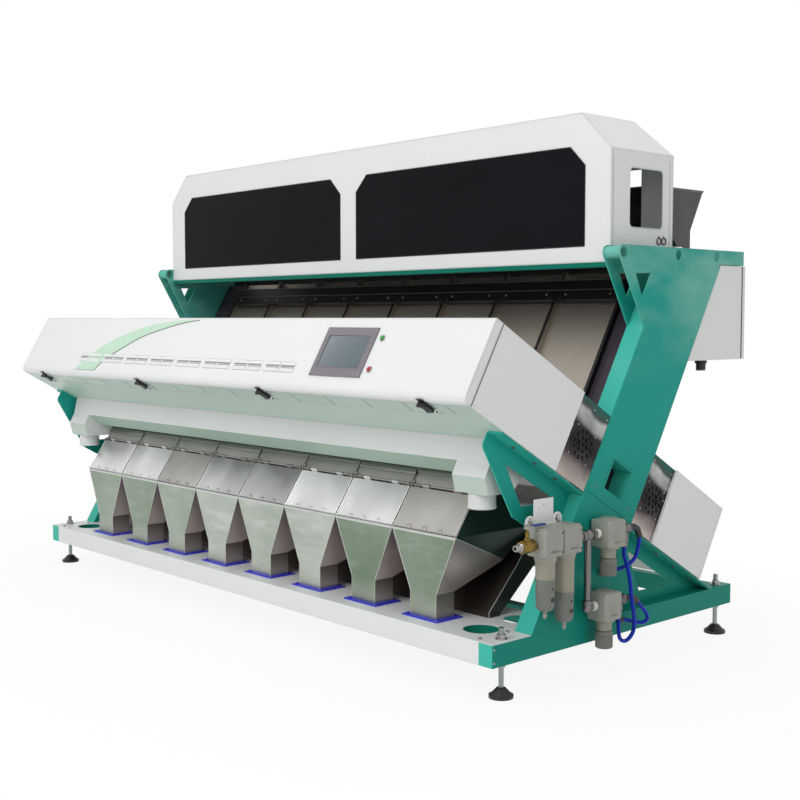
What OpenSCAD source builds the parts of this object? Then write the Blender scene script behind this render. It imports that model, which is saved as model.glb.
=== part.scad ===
// Optical colour sorter with eight inclined chutes, millimetres, +Z up, +Y to the rear.

/* [Base] */
// Length of the base over the side beams
base_length = 3500; // [3400:10:3600]
// Depth of the base from front to rear
base_depth = 1556; // [1500:2:1600]
// Height of the beam undersides above the floor
beam_clearance = 132; // [120:1:160]
// Width of a side beam
beam_width = 70; // [60:1:80]
// Height of a side beam
beam_height = 86; // [80:1:100]
// Wall of the beam tubes
beam_wall = 5; // [3:0.5:8]
// Thickness of the folded tray sheet
tray_sheet = 3; // [2:0.5:4]
// Radius of the round holes in the tray
tray_hole_r = 72; // [60:1:74]

/* [Feet] */
// Radius of a foot pad
pad_r = 47; // [40:1:55]
// Height of the flat part of a pad
pad_height = 12; // [8:1:16]
// Height of the cone above the pad
cone_height = 26; // [20:1:32]
// Radius of the foot rod
rod_r = 10; // [8:0.5:12]
// Height of the rod above the tray
rod_stand = 44; // [36:1:60]
// Radius of a foot nut across its corners
nut_r = 17.5; // [16:0.5:20]
// Thickness of a foot nut
nut_height = 16; // [12:1:18]
// Front to base end distance of the front feet
foot_front_inset = 88; // [70:1:110]
// Rear to base end distance of the rear feet
foot_rear_inset = 63; // [55:1:100]

/* [Side frames] */
// Depth of a side column in the length direction
column_depth = 86; // [80:1:100]
// Width of a side column across the slope
column_width = 346; // [330:1:360]
// Distance of the column front face from the tilt line
column_front = 598; // [590:1:606]
// Plate thickness of the side frames
plate = 6; // [4:0.5:8]
// Thickness of a column cover sheet
cover_sheet = 2; // [1:0.5:3]
// Width of the column window
window_w = 132; // [110:1:150]
// Height of the column window
window_h = 126; // [110:1:140]
// Radius of the lightening holes in the top bracket
bracket_hole_r = 21.5; // [16:0.5:26]
// Radius of a cover screw head
screw_r = 6; // [4:0.5:8]
// Height of a cover screw head
screw_head = 3; // [2:0.5:4]

/* [Optical boxes] */
// Height of both optical boxes along the slope
box_height = 338; // [330:1:345]
// Stand of the optical boxes past each end of the base
box_overhang = 10; // [6:1:20]
// Sheet thickness of the optical boxes
box_sheet = 4; // [3:0.5:6]
// Depth of the front cover
cover_depth = 40; // [36:1:46]
// Skin of the front cover
cover_skin = 5; // [3:0.5:7]
// Stand of the front cover past each end of its box
cover_overhang = 2; // [1:0.5:5]
// Radius of the lower front edge of the front cover
cover_edge_r = 26; // [16:1:30]
// Seam between the front cover and the box
seam = 0.6; // [0.4:0.1:1]
// Thickness of the rear cover plate
rear_plate = 12; // [8:1:16]
// Radius of the cover hinge pins
hinge_pin_r = 3; // [2:0.5:4]
// Radius of the cover hinge barrels
hinge_barrel_r = 7; // [6:0.5:9]

/* [Controls] */
// Width of the touch screen bezel
screen_w = 316; // [280:1:330]
// Height of the touch screen bezel
screen_h = 222; // [200:1:230]
// Thickness of the touch screen bezel
screen_t = 6; // [4:0.5:10]
// Radius of a push button cap
button_r = 9; // [7:0.5:11]
// Stand of a push button cap in front of the cover
button_stand = 8; // [6:0.5:10]
// Width of a cover latch lever
latch_w = 44; // [36:1:56]
// Length of a cover latch lever
latch_length = 62; // [54:1:66]
// Radius of a latch pin
latch_pin_r = 4; // [3:0.5:5]

/* [Chutes and feeders] */
// Pitch of the sorting channels
pitch = 367; // [360:1:368]
// Thickness of a chute plate
chute_sheet = 3; // [2:0.5:4]
// Height of a chute side lip
chute_lip = 25; // [16:1:30]
// Width of a divider bar
divider_w = 10; // [6:1:10]
// Width of a feeder tray
feeder_w = 330; // [300:1:345]
// Depth of a feeder tray
feeder_h = 16; // [10:1:17]
// Air gap under the feeder trays
feeder_gap = 0.5; // [0.3:0.1:0.8]

/* [Top cover and feed hopper] */
// Height of the top cover
hood_height = 617; // [600:1:630]
// Depth of the top cover
hood_depth = 421; // [410:1:422]
// Chamfer of the top cover ends
hood_chamfer = 157; // [120:1:180]
// Sheet thickness of the top cover
hood_sheet = 3; // [2:0.5:5]
// Thickness of the dark window panels
panel_t = 4; // [3:0.5:6]
// Gap between each end of the feed hopper and the side frame
bin_inset = 104; // [80:1:160]
// Sheet thickness of the feed hopper
bin_sheet = 3; // [2:0.5:4]

/* [Discharge] */
// Sheet thickness of the discharge hoppers
hopper_sheet = 3; // [2:0.5:4]
// Gap between neighbouring hoppers
hopper_gap = 2; // [1:0.5:4]
// Width of a spout
spout_w = 148; // [130:1:160]
// Depth of a spout
spout_d = 100; // [90:1:110]
// Border of a spout flange around the spout
flange_border = 28; // [20:1:30]
// Thickness of a spout flange
flange_t = 6; // [4:0.5:8]
// Length of a hopper lid
lid_length = 190; // [170:1:192]
// Thickness of a hopper lid
lid_t = 3; // [2:0.5:3.5]
// Radius of the lid hinge rod
lid_rod_r = 4; // [3:0.5:4.5]
// Radius of the dust outlet stubs
stub_r = 54; // [45:1:60]
// Wall of the dust duct
duct_wall = 3; // [2:0.5:4]

/* [Air unit] */
// Width of a filter head
head_w = 110; // [100:1:112]
// Depth of a filter head
head_d = 95; // [86:1:100]
// Height of a filter head
head_h = 126; // [110:1:130]
// Radius of a filter bowl
bowl_r = 37; // [32:1:40]
// Radius of the air pipes
pipe_r = 13; // [10:0.5:15]
// Width of a regulator body
reg_w = 105; // [95:1:108]
// Radius of a regulator knob
knob_r = 34; // [28:1:38]
// Radius of the air hoses
hose_r = 8; // [6:0.5:9]

/* [Power box] */
// Height of the power box
power_h = 413; // [380:1:414]
// Depth of the power box door
door_t = 22; // [16:1:26]
// Sheet thickness of the power box
power_sheet = 3; // [2:0.5:5]

// Radius of the cable entry
gland_r = 12; // [10:0.5:16]
// Length of the cable gland
gland_length = 46; // [36:1:56]

/* [Fits] */
// Radial clearance of turning and sliding pins
run_fit = 0.06; // [0.02:0.01:0.1]
// Side gap between moving plates
move_gap = 0.6; // [0.4:0.1:0.9]
// Gap between flat faces that rest on each other
rest_gap = 0.02; // [0.01:0.01:0.05]

/* [Hidden] */
tilt = 30;
channels = 8;
half = base_length / 2;
front_y = -base_depth / 2;
beam_top = beam_clearance + beam_height;
tray_top = beam_top + tray_sheet;
inner_x = half - column_depth;
foot_x = half - beam_width / 2 - 3;
foot_front_y = front_y + foot_front_inset;
foot_rear_y = -front_y - foot_rear_inset;
column_rear = column_front - column_width;
column_mid = -(column_front + column_rear) / 2;
slit_half = inner_x - 184;
pane_half = slit_half + 15;
shelf = 500;
box_top = shelf + box_height;
box_half = half + box_overhang;
front_w0 = -1338;
front_w1 = -802;
rear_w0 = -88;
rear_w1 = 300;
cover_half = box_half + cover_overhang;
cover_face = front_w0 - cover_depth;
hinge_u = box_top + hinge_barrel_r + 1;
strap = 20;
plate_sheet = 3;
flange = 8;
arm_x = half - 63;
hinge_x = [for (k = [-3, -1, 1, 3]) k * (half - 250) / 3];
latch_x = [for (k = [-3, -1, 1, 3]) k * (half - 225) / 3];
latch_u = shelf - latch_pin_r - 6;
latch_w0 = front_w0 + latch_length - 14;
screen_x = half - 910;
screen_u = 568;
button_x = half - 556;
start_u = 746;
stop_u = 607;
button_rear = 20;
chute_w = -455;
chute_u0 = 860;
chute_u1 = 1600;
hood_z = 1642;
hood_y = -4;
hood_top = hood_z + hood_height;
hood_rear = hood_y + hood_depth;
bracket_top = 1708;
eye_y = -28;
nose_r = 30;
eye_z = bracket_top - nose_r;
beam_line = 1646;
bin_z0 = 1732;
bin_z1 = 1985;
bin_half = inner_x - bin_inset;
feeder_z = 1712;
spout_y = -688;
spout_top = 325;
shoulder_z = 566;
lid_angle = 34.3;
lid_face = 8;
lid_barrel_r = 7;
lid_y = -584.6;
lid_z = 731.5;
trough_half = channels * pitch / 2 - 2;
duct_end = inner_x - 19;
duct_box = duct_end - 175;
stub_x = duct_end - 87;
stub_y = -637;
stub_z0 = 689;
duct_floor = 750;
air_x = half + 58;
air_z = 578;
handle_z = 66;
head_y = -611;
tee_y = -340;
reg_up_y = -235;
reg_up_z = 510;
reg_lo_y = -255;
reg_lo_z = 225;
pipe_y = -309;
power_rear = 836;
power_top = 1644;
power_half = half - 5;
door_hinge_z = power_top + hinge_barrel_r + 1;
gland_x = half - 50;
gland_y = 590;
x_low = -cover_half;
x_high = air_x + head_d / 2;
y_low = cos(tilt) * (cover_face + cover_edge_r) + sin(tilt) * (shelf + cover_edge_r) - cover_edge_r;
y_high = power_rear + door_t;
shift = [-(x_low + x_high) / 2, -(y_low + y_high) / 2, 0];

// Point of the sloping frame (across, along) in the upright side view
function yz(w, u) = [cos(tilt) * w + sin(tilt) * u, cos(tilt) * u - sin(tilt) * w];
// Along value of the point at a given height on a line across = w
function along_at(w, z) = (z + sin(tilt) * w) / cos(tilt);
function unit(v) = v / norm(v);
function side_normal(a, b) = let (d = unit(b - a)) [-d[1], d[0]];
function pick(t, i) = is_list(t) ? t[i] : t;
// Moves every edge of a closed outline inwards by its own distance
function inset(p, t) = let (n = len(p)) [for (i = [0 : n - 1])
    let (h = (i + n - 1) % n, m = side_normal(p[h], p[i]), q = side_normal(p[i], p[(i + 1) % n]),
         s = pick(t, h), r = pick(t, i), d = m[0] * q[1] - m[1] * q[0])
    p[i] + [(s * q[1] - r * m[1]) / d, (m[0] * r - q[0] * s) / d]];
function channel_x(i) = (i - (channels - 1) / 2) * pitch;

module in_frame() {
    translate(shift) children();
}
module slope() {
    rotate([-tilt, 0, 0]) children();
}
module block(x0, x1, y0, y1, z0, z1) {
    translate([x0, y0, z0]) cube([x1 - x0, y1 - y0, z1 - z0]);
}
module prism(x0, x1, p) {
    translate([x0, 0, 0]) rotate([90, 0, 90]) linear_extrude(x1 - x0) polygon(p);
}
module rod_x(x0, x1, r) {
    translate([x0, 0, 0]) rotate([0, 90, 0]) cylinder(r = r, h = x1 - x0, $fn = 48);
}
module rod_y(y0, y1, r) {
    translate([0, y0, 0]) rotate([-90, 0, 0]) cylinder(r = r, h = y1 - y0, $fn = 48);
}
module rod_z(z0, z1, r) {
    translate([0, 0, z0]) cylinder(r = r, h = z1 - z0, $fn = 48);
}
module hex_z(z0, z1, r) {
    translate([0, 0, z0]) cylinder(r = r, h = z1 - z0, $fn = 6);
}
module tube_x(x0, x1, y0, y1, z0, z1, t) {
    difference() {
        block(x0, x1, y0, y1, z0, z1);
        block(x0 - 1, x1 + 1, y0 + t, y1 - t, z0 + t, z1 - t);
    }
}
module both_sides() {
    children();
    mirror([1, 0, 0]) children();
}
module at_feet() {
    for (y = [foot_front_y, foot_rear_y])
        for (s = [-1, 1])
            translate([s * foot_x, y, 0]) children();
}

module base_frame() {
    color("#1d8574") difference() {
        union() {
            both_sides() difference() {
                block(half - beam_width, half, front_y, -front_y, beam_clearance, beam_top);
                block(half - beam_width + beam_wall, half - beam_wall, front_y + beam_wall,
                    -front_y - beam_wall, beam_clearance + beam_wall, beam_top - beam_wall);
            }
            for (y = [front_y + 8, -240, 690])
                tube_x(beam_width - half, half - beam_width, y, y + 50, beam_clearance + 10, beam_top, beam_wall);
        }
        at_feet() rod_z(beam_clearance - 1, beam_top + 1, rod_r + run_fit);
    }
}

module front_tray() {
    post_front = yz(-column_front, along_at(-column_front, beam_top))[0];
    color("#f2f4f3") difference() {
        union() {
            block(-half, half, front_y, post_front - 3, beam_top, tray_top);
            block(3 - inner_x, inner_x - 3, post_front - 4, -300, beam_top, tray_top);
            block(beam_width - half, half - beam_width, front_y, front_y + tray_sheet, beam_clearance, tray_top);
        }
        at_feet() rod_z(beam_top - 1, tray_top + 1, rod_r + run_fit);
        both_sides() {
            translate([stub_x, stub_y, 0]) rod_z(beam_top - 1, tray_top + 1, tray_hole_r);
            translate([stub_x, stub_y + 226, 0]) rod_z(beam_top - 1, tray_top + 1, tray_hole_r);
        }
        for (i = [0 : channels - 1])
            translate([channel_x(i), 0, 0]) {
                block(8 - spout_w / 2, spout_w / 2 - 8, spout_y + 8, spout_y + spout_d - 8, beam_top - 1, tray_top + 1);
                block(-60, 60, -494, -446, beam_top - 1, tray_top + 1);
            }
    }
}

module foot() {
    color("#22262a") {
        rod_z(0, pad_height, pad_r);
        translate([0, 0, pad_height]) cylinder(r1 = pad_r - 4, r2 = nut_r, h = cone_height, $fn = 48);
        rod_z(pad_height, tray_top + rod_stand, rod_r);
        hex_z(beam_clearance - nut_height, beam_clearance, nut_r);
    }
}
module foot_front_left() {
    translate([-foot_x, foot_front_y, 0]) foot();
}
module foot_front_right() {
    translate([foot_x, foot_front_y, 0]) foot();
}
module foot_rear_left() {
    translate([-foot_x, foot_rear_y, 0]) foot();
}
module foot_rear_right() {
    translate([foot_x, foot_rear_y, 0]) foot();
}
module foot_nuts() {
    color("#b9bec2") for (y = [foot_front_y, foot_rear_y])
        for (s = [-1, 1])
            translate([s * foot_x, y, y < 0 ? tray_top : beam_top]) difference() {
                union() {
                    rod_z(0, 3, nut_r + 5);
                    hex_z(3, 3 + nut_height, nut_r);
                }
                rod_z(-1, nut_height + 4, rod_r + run_fit);
            }
}

module column_outline(t) {
    low = [yz(-column_front + t, along_at(-column_front + t, beam_top + t)),
           yz(-column_rear - t, along_at(-column_rear - t, beam_top + t))];
    high = [yz(-column_rear - t, along_at(-column_rear - t, beam_line - 10 - t)),
            yz(-column_front + t, 1400 - t), yz(-column_front + t, 1253)];
    polygon(concat(low, high));
}
// Distance back at which the line along an arm at u meets the beam top
function arm_end(u) = (u - beam_top * cos(tilt)) / sin(tilt);
module side_frame() {
    nose = [for (a = [90 : 15 : 210]) [eye_y + nose_r * cos(a), eye_z + nose_r * sin(a)]];
    bracket = concat([[105, 1386], yz(-column_front + 60, 1340), yz(-column_rear - 10, 1690), [645, beam_line],
               [power_rear, beam_line], [power_rear, bracket_top]], nose);
    inner = 1 - column_front;
    outer = -column_rear - 1;
    seat = shelf - rest_gap;
    gusset = [[inner, 274], [inner, seat], [-1128, seat], [-1141, 487], [-1141, 444], [-1132, 431],
        [-857, 274]];
    gusset_hole = [[-998, 432], [-836, 328], [-669, 427], [-688, 432]];
    rear_arm = [yz(outer, along_at(outer, beam_top)), [arm_end(seat), beam_top], yz(outer, seat)];
    rear_flange = [[arm_end(seat - flange), beam_top], [arm_end(seat), beam_top], yz(outer, seat),
        yz(outer, seat - flange)];
    rear_hole = [[184, 265], [383, 264], [381, 285], [108, 443], [104, 436]];
    color("#1d8574") difference() {
        union() {
            difference() {
                translate([inner_x, 0, 0]) rotate([90, 0, 90]) linear_extrude(column_depth) column_outline(0);
                translate([inner_x + plate, 0, 0]) rotate([90, 0, 90])
                    linear_extrude(column_depth - 2 * plate) column_outline(plate);
            }
            for (x = [inner_x, half - plate]) prism(x, x + plate, bracket);
            tube_x(inner_x + plate, half - plate, 660, power_rear, beam_line, bracket_top, plate);
            translate([0, eye_y, eye_z]) rod_x(inner_x + 1, half - 1, bracket_hole_r + 4);
            slope() {
                prism(arm_x - plate, arm_x, gusset);
                block(arm_x - plate, half, -1136, inner, seat - flange, seat);
            }
            prism(arm_x - plate, arm_x, rear_arm);
            prism(arm_x - plate, half, rear_flange);
            slope() block(inner_x, half, column_mid - window_w / 2 - plate, column_mid + window_w / 2 + plate,
                635 - window_h / 2 - plate, 635 + window_h / 2 + plate);
        }
        slope() block(inner_x - 1, half + 1, column_mid - window_w / 2, column_mid + window_w / 2,
            635 - window_h / 2, 635 + window_h / 2);
        for (y = [eye_y, 345, 623]) translate([0, y, eye_z]) rod_x(inner_x - 1, half + 1, bracket_hole_r);
        prism(inner_x - 1, half + 1, [[49, 1595], [96, 1497], [152, 1598]]);
        slope() prism(arm_x - plate - 1, arm_x + 1, gusset_hole);
        prism(arm_x - plate - 1, arm_x + 1, rear_hole);
    }
}
module side_frame_left() {
    mirror([1, 0, 0]) side_frame();
}
module side_frame_right() {
    side_frame();
}
module column_covers() {
    color("#209a86") both_sides() slope() {
        difference() {
            block(half + rest_gap, half + cover_sheet, 3 - column_front, -column_rear - 3, 518, 1390);
            block(half - 1, half + cover_sheet + 1, column_mid - window_w / 2, column_mid + window_w / 2,
                635 - window_h / 2, 635 + window_h / 2);
        }
        for (w = [25 - column_front, -column_rear - 25])
            for (u = [545 : 136 : 1370])
                translate([0, w, u]) rod_x(half + cover_sheet, half + cover_sheet + screw_head, screw_r);
    }
}
module top_cross_beams() {
    color("#1d8574") {
        tube_x(-inner_x, inner_x, hood_y, hood_y + 60, hood_z - 20, hood_z, 4);
        tube_x(-inner_x, inner_x, 470, 560, 1560, 1620, beam_wall);
        tube_x(-inner_x, inner_x, 640, 700, 1650, 1706, beam_wall);
    }
}

module hood_side(t, low) {
    prism(-inner_x, inner_x, inset([[hood_y, hood_z], [hood_rear, hood_z], [hood_rear, hood_top - hood_chamfer],
        [hood_rear - 74, hood_top], [hood_y, hood_top]], [low, t, t, t, t]));
}
module hood_front(t, low) {
    h = inner_x;
    p = inset([[-h, hood_z], [h, hood_z], [h, hood_top - hood_chamfer], [h - hood_chamfer, hood_top],
        [hood_chamfer - h, hood_top], [-h, hood_top - hood_chamfer]], [low, t, t, t, t, t]);
    translate([0, hood_rear + 1, 0]) rotate([90, 0, 0]) linear_extrude(hood_depth + 2) polygon(p);
}
module hood_window(x0, x1, z0, z1, c) {
    translate([0, hood_y + hood_sheet + 1, 0]) rotate([90, 0, 0]) linear_extrude(hood_sheet + 2)
        polygon([[x0, z0], [x1, z0], [x1, z1 - c], [x1 - c, z1], [x0 + c, z1], [x0, z1 - c]]);
}
module hopper_cover() {
    color("#f4f6f5") difference() {
        intersection() {
            hood_side(0, 0);
            hood_front(0, 0);
        }
        intersection() {
            hood_side(hood_sheet, -1);
            hood_front(hood_sheet, -1);
        }
        both_sides() hood_window(62, inner_x - 136, hood_z + 68, hood_top - 137, 80);
        block(-inner_x - 1, inner_x + 1, 140, 322, 1787, 2033);
        block(-inner_x - 1, inner_x + 1, 116, 346, 1811, 2009);
        for (y = [140, 322])
            for (z = [1811, 2009])
                translate([0, y, z]) rod_x(-inner_x - 1, inner_x + 1, 24);
        block(164 - inner_x, inner_x - 164, hood_rear - hood_sheet - 1, hood_rear + 1, hood_z + 18, hood_top - 199);
    }
}
module window_panels() {
    color("#1b1a1f") both_sides()
        block(36, inner_x - 114, hood_y + hood_sheet, hood_y + hood_sheet + panel_t, hood_z + 48, hood_top - 119);
}
module feed_hopper() {
    p = [[600, bin_z0], [660, bin_z0], [792, bin_z1], [425, bin_z1], [425, 1900]];
    color("#c6c9c8") {
        difference() {
            prism(-bin_half, bin_half, p);
            prism(bin_sheet - bin_half, bin_half - bin_sheet, inset(p, [-1, bin_sheet, -1, bin_sheet, bin_sheet]));
        }
        both_sides() block(bin_half - bin_sheet, bin_half, 642, 698, 1706, bin_z0 + 80);
    }
}
module feeder_trays() {
    color("#c6c9c8") for (i = [0 : channels - 1])
        translate([channel_x(i), 0, feeder_z]) difference() {
            block(-feeder_w / 2, feeder_w / 2, 405, 640, 0, feeder_h + 2);
            block(2 - feeder_w / 2, feeder_w / 2 - 2, 404, 638, 2, feeder_h + 3);
        }
}
module feeder_drives() {
    color("#53585d") for (i = [0 : channels - 1])
        translate([channel_x(i), 0, 0]) {
            block(-60, 60, 475, 555, 1620, 1630);
            block(-45, 45, 485, 545, 1630, 1690);
            block(-70, 70, 480, 490, 1630, feeder_z - feeder_gap);
            block(-70, 70, 540, 550, 1630, feeder_z - feeder_gap);
        }
}
module chute_plates() {
    w = pitch / 2 - divider_w / 2 - 1;
    color("#8b8478") slope() for (i = [0 : channels - 1])
        translate([channel_x(i), 0, 0]) {
            block(-w, w, chute_w, chute_w + chute_sheet, chute_u0, chute_u1);
            for (s = [-w, w - 2]) block(s, s + 2, chute_w - chute_lip, chute_w + 1, chute_u0, chute_u1);
        }
}
module chute_frame() {
    back = chute_w + chute_sheet;
    lip = chute_w - chute_lip;
    color("#1c1d20") slope() {
        for (u = [880, 1180, 1480]) tube_x(-inner_x, inner_x, back, back + 40, u, u + 40, 4);
        for (i = [0 : channels])
            block((i - channels / 2) * pitch - divider_w / 2, (i - channels / 2) * pitch + divider_w / 2,
                lip, back + 1, chute_u0, chute_u1);
        block(-trough_half - 6, trough_half + 6, lip - 6, lip, 1440, 1555);
        block(-trough_half - 6, trough_half + 6, lip - 22, lip - 5, 1440, 1446);
        both_sides() block(trough_half + 8, inner_x, back - 6, back, chute_u0, chute_u1);
    }
}

module hinge_pins(w, u) {
    for (x = hinge_x) {
        for (s = [-30, 10]) translate([x + s, w, u]) rod_x(0, 20, hinge_barrel_r);
        translate([x - 30, w, u]) rod_x(0, 60, hinge_pin_r);
    }
}
module hinge_barrels(w, u, lift = 0) {
    for (x = hinge_x)
        translate([x, w, u]) {
            rod_x(move_gap - 10, 10 - move_gap, hinge_barrel_r);
            block(move_gap - 10, 10 - move_gap, -strap, 0, lift - hinge_barrel_r - 1, 1 - hinge_barrel_r);
        }
}
module hinge_bores(w, u) {
    for (x = hinge_x) translate([x - 12, w, u]) rod_x(0, 24, hinge_pin_r + run_fit);
}
module hinge_feet(w, u, lift = 0) {
    for (x = hinge_x)
        for (s = [-30, 10])
            translate([x + s, w, u]) block(0, 20, 0, strap, lift - hinge_barrel_r - 1, 1 - hinge_barrel_r);
}
module at_door_hinge() {
    translate([0, power_rear, 0]) mirror([0, 1, 0]) children();
}
module optical_shell(w0, w1, open_front) {
    t = box_sheet;
    difference() {
        block(-box_half, box_half, w0, w1, shelf, box_top);
        block(t - box_half, box_half - t, open_front ? w0 - 1 : w0 + t, open_front ? w1 - t : w1 + 1, shelf + t, box_top - t);
        block(-slit_half, slit_half, open_front ? w1 - t - 1 : w0 - 1, open_front ? w1 + 1 : w0 + t + 1, 565, 775);
    }
}
module front_box() {
    color("#f4f6f5") slope() {
        difference() {
            union() {
                optical_shell(front_w0, front_w1, true);
                for (x = latch_x)
                    for (s = [-1, 1])
                        translate([x + s * (latch_w / 2 + 3.5) - 3, 0, 0])
                            block(0, 6, latch_w0 - 9, latch_w0 + 9, latch_u - 9, shelf);
            }
            for (x = latch_x) translate([x - 60, latch_w0, latch_u]) rod_x(0, 120, latch_pin_r + run_fit);
        }
        hinge_pins(front_w0, hinge_u);
        hinge_feet(front_w0, hinge_u);
    }
}
module front_cover() {
    r = cover_edge_r;
    back = front_w0 - seam;
    color("#f6f8f7") slope() difference() {
        union() {
            block(-cover_half, cover_half, cover_face, back, shelf + r, box_top);
            block(-cover_half, cover_half, cover_face + r, back, shelf, box_top);
            translate([0, cover_face + r, shelf + r]) rod_x(-cover_half, cover_half, r);
            hinge_barrels(front_w0, hinge_u);
        }
        block(cover_skin - cover_half, cover_half - cover_skin, cover_face + cover_skin, back + 1,
            shelf + r + 2, box_top - cover_skin);
        block(-cover_half - 1, cover_half + 1, back, back + 2 * r, shelf - 1, shelf + 2 * r + 1);
        hinge_bores(front_w0, hinge_u);
        for (u = [start_u, stop_u])
            translate([button_x, 0, u]) rod_y(cover_face - 1, cover_face + 30, button_r + run_fit);
    }
}
module touch_screen() {
    color("#8f8690") slope() difference() {
        block(screen_x, screen_x + screen_w, cover_face - screen_t, cover_face, screen_u, screen_u + screen_h);
        block(screen_x + 28, screen_x + screen_w - 32, cover_face - screen_t - 1, cover_face - screen_t + 1.5,
            screen_u + 40, screen_u + screen_h - 38);
    }
}
module push_button(u) {
    slope() translate([button_x, 0, u]) {
        rod_y(cover_face - button_stand, cover_face + button_rear, button_r);
        rod_y(cover_face + cover_skin + 0.4, cover_face + cover_skin + 3.4, button_r + 5);
    }
}
module start_button() {
    color("#1f9d4a") push_button(start_u);
}
module stop_button() {
    color("#c8202b") push_button(stop_u);
}
module cover_latch(i) {
    color("#17181a") slope() translate([latch_x[i], latch_w0, latch_u]) {
        rod_x(-latch_w / 2 - 6, latch_w / 2 + 6, latch_pin_r);
        block(-latch_w / 2, latch_w / 2, -latch_length, latch_pin_r, -latch_pin_r, latch_pin_r);
        block(-latch_w / 2, latch_w / 2, -latch_length, 8 - latch_length, -latch_pin_r - 8, shelf - latch_u - move_gap);
    }
}
module cover_latch_1() {
    cover_latch(0);
}
module cover_latch_2() {
    cover_latch(1);
}
module cover_latch_3() {
    cover_latch(2);
}
module cover_latch_4() {
    cover_latch(3);
}
module front_cameras() {
    floor_u = shelf + box_sheet;
    color("#33373c") slope() {
        tube_x(-slit_half, slit_half, -1190, -1110, floor_u, 600, 4);
        for (i = [0 : channels - 1])
            translate([channel_x(i), 0, 670]) {
                block(-45, 45, -1210, -1080, -70, 40);
                rod_y(-1080, -1030, 28);
            }
    }
}
module front_lights() {
    color("#e8efe9") slope() for (u = [515, 790])
        block(-slit_half, slit_half, front_w1 - box_sheet - 40, front_w1 - box_sheet, u, u + 34);
}
module front_glass() {
    color("#bcd8d2") slope() block(-pane_half, pane_half, front_w1, front_w1 + 5, 550, 790);
}
module rear_box() {
    color("#f4f6f5") slope() {
        optical_shell(rear_w0, rear_w1, false);
        block(-pane_half, pane_half, rear_w0 + box_sheet, rear_w0 + box_sheet + 5, 550, 790);
        for (u = [515, 792]) block(-slit_half, slit_half, rear_w0 + box_sheet, rear_w0 + 40, u, u + 30);
    }
}
module rear_cover() {
    w = rear_w1;
    t = box_sheet;
    color("#f6f8f7") slope() {
        difference() {
            block(-box_half, box_half, w, w + rear_plate, shelf, box_top);
            block(t - box_half, box_half - t, w - 1, w + rear_plate - t, shelf + t, box_top - t);
        }
        for (x = [for (k = [-3 : 3]) k * (half - 100) / 3])
            for (u = [shelf + 24, box_top - 24])
                translate([x, 0, u]) rod_y(w + rear_plate, w + rear_plate + screw_head, screw_r);
        both_sides() block(half - 1050, half - 890, w + rear_plate - 1, w + rear_plate + 14, shelf + 60, shelf + 74);
    }
}
module ejector_manifold() {
    color("#9aa0a3") slope() difference() {
        block(-inner_x, inner_x, -432, -372, 480, 560);
        for (i = [0 : channels - 1])
            for (k = [-7 : 7])
                translate([channel_x(i) + k * 22, 0, 545]) rod_y(-433, -400, 3);
    }
}
module side_plate(w0, w1, u1, c) {
    difference() {
        block(half - 1 - plate_sheet, half - 1, w0, w1, shelf + 5, u1);
        for (n = [1 : 2])
            for (k = [0 : 6 * n - 1])
                translate([0, c + 26 * n * cos(60 * k / n), 660 + 26 * n * sin(60 * k / n)])
                    rod_x(half - 2 - plate_sheet, half, 9);
        translate([0, c, 660]) rod_x(half - 2 - plate_sheet, half, 9);
    }
}
module side_plates() {
    color("#b8bbbb") both_sides() slope() {
        side_plate(front_w1, -column_front, box_top - 2, -700);
        side_plate(-column_rear, rear_w0, box_top - 2, -170);
    }
}

module dust_duct() {
    top_front = yz(-1056, shelf - rest_gap);
    top_rear = yz(-850, shelf - rest_gap);
    long = [top_front, [-685, 870], [-620, 812], [-520, 812], top_rear];
    ends = [top_front, [-685, 870], [-713, 818], [-695, duct_floor], [-560, duct_floor], [-505, 812], top_rear];
    t = duct_wall;
    color("#f4f6f5") {
        difference() {
            union() {
                prism(-duct_box, duct_box, long);
                both_sides() prism(duct_box, duct_end, ends);
                both_sides() translate([stub_x, stub_y, 0]) rod_z(stub_z0, duct_floor + 1, stub_r);
            }
            prism(-duct_box - 1, duct_box + 1, inset(long, t));
            both_sides() prism(duct_box + t, duct_end - t, inset(ends, t));
            both_sides() prism(duct_box - 1, duct_box + t + 1, inset(long, t));
            both_sides() prism(duct_box - rest_gap, duct_box, inset(long, -1));
            both_sides() translate([stub_x, stub_y, 0]) rod_z(stub_z0 - 1, duct_floor + t + 1, stub_r - t);
        }
    }
}

module hopper_side(t, open) {
    p = [[spout_y, tray_top], [spout_y + spout_d, tray_top], [spout_y + spout_d, spout_top], [-359, 424],
         [-225, 585], [-538, 788], [-578, 727], [spout_y, shoulder_z]];
    prism(-pitch / 2, pitch / 2, inset(p, [open, t, t, t, open, t, t, t]));
}
module hopper_front(t, open) {
    h = pitch / 2 - hopper_gap / 2;
    s = spout_w / 2;
    p = [[-s, tray_top], [s, tray_top], [s, spout_top], [h, shoulder_z], [h, 800], [-h, 800], [-h, shoulder_z], [-s, spout_top]];
    rotate([90, 0, 0]) linear_extrude(1000) polygon(inset(p, [open, t, t, t, open, t, t, t]));
}
module discharge_hoppers() {
    color("#bfc3c1") for (i = [0 : channels - 1])
        translate([channel_x(i), 0, 0]) difference() {
            intersection() {
                hopper_side(0, 0);
                hopper_front(0, 0);
            }
            intersection() {
                hopper_side(hopper_sheet, -1);
                hopper_front(hopper_sheet, -1);
            }
            translate([0, lid_y, lid_z]) rotate([-lid_angle, 0, 0])
                block(24 - pitch / 2, pitch / 2 - 24, lid_face - 2, lid_face + 12, 20 - lid_length, -24);
        }
}
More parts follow.
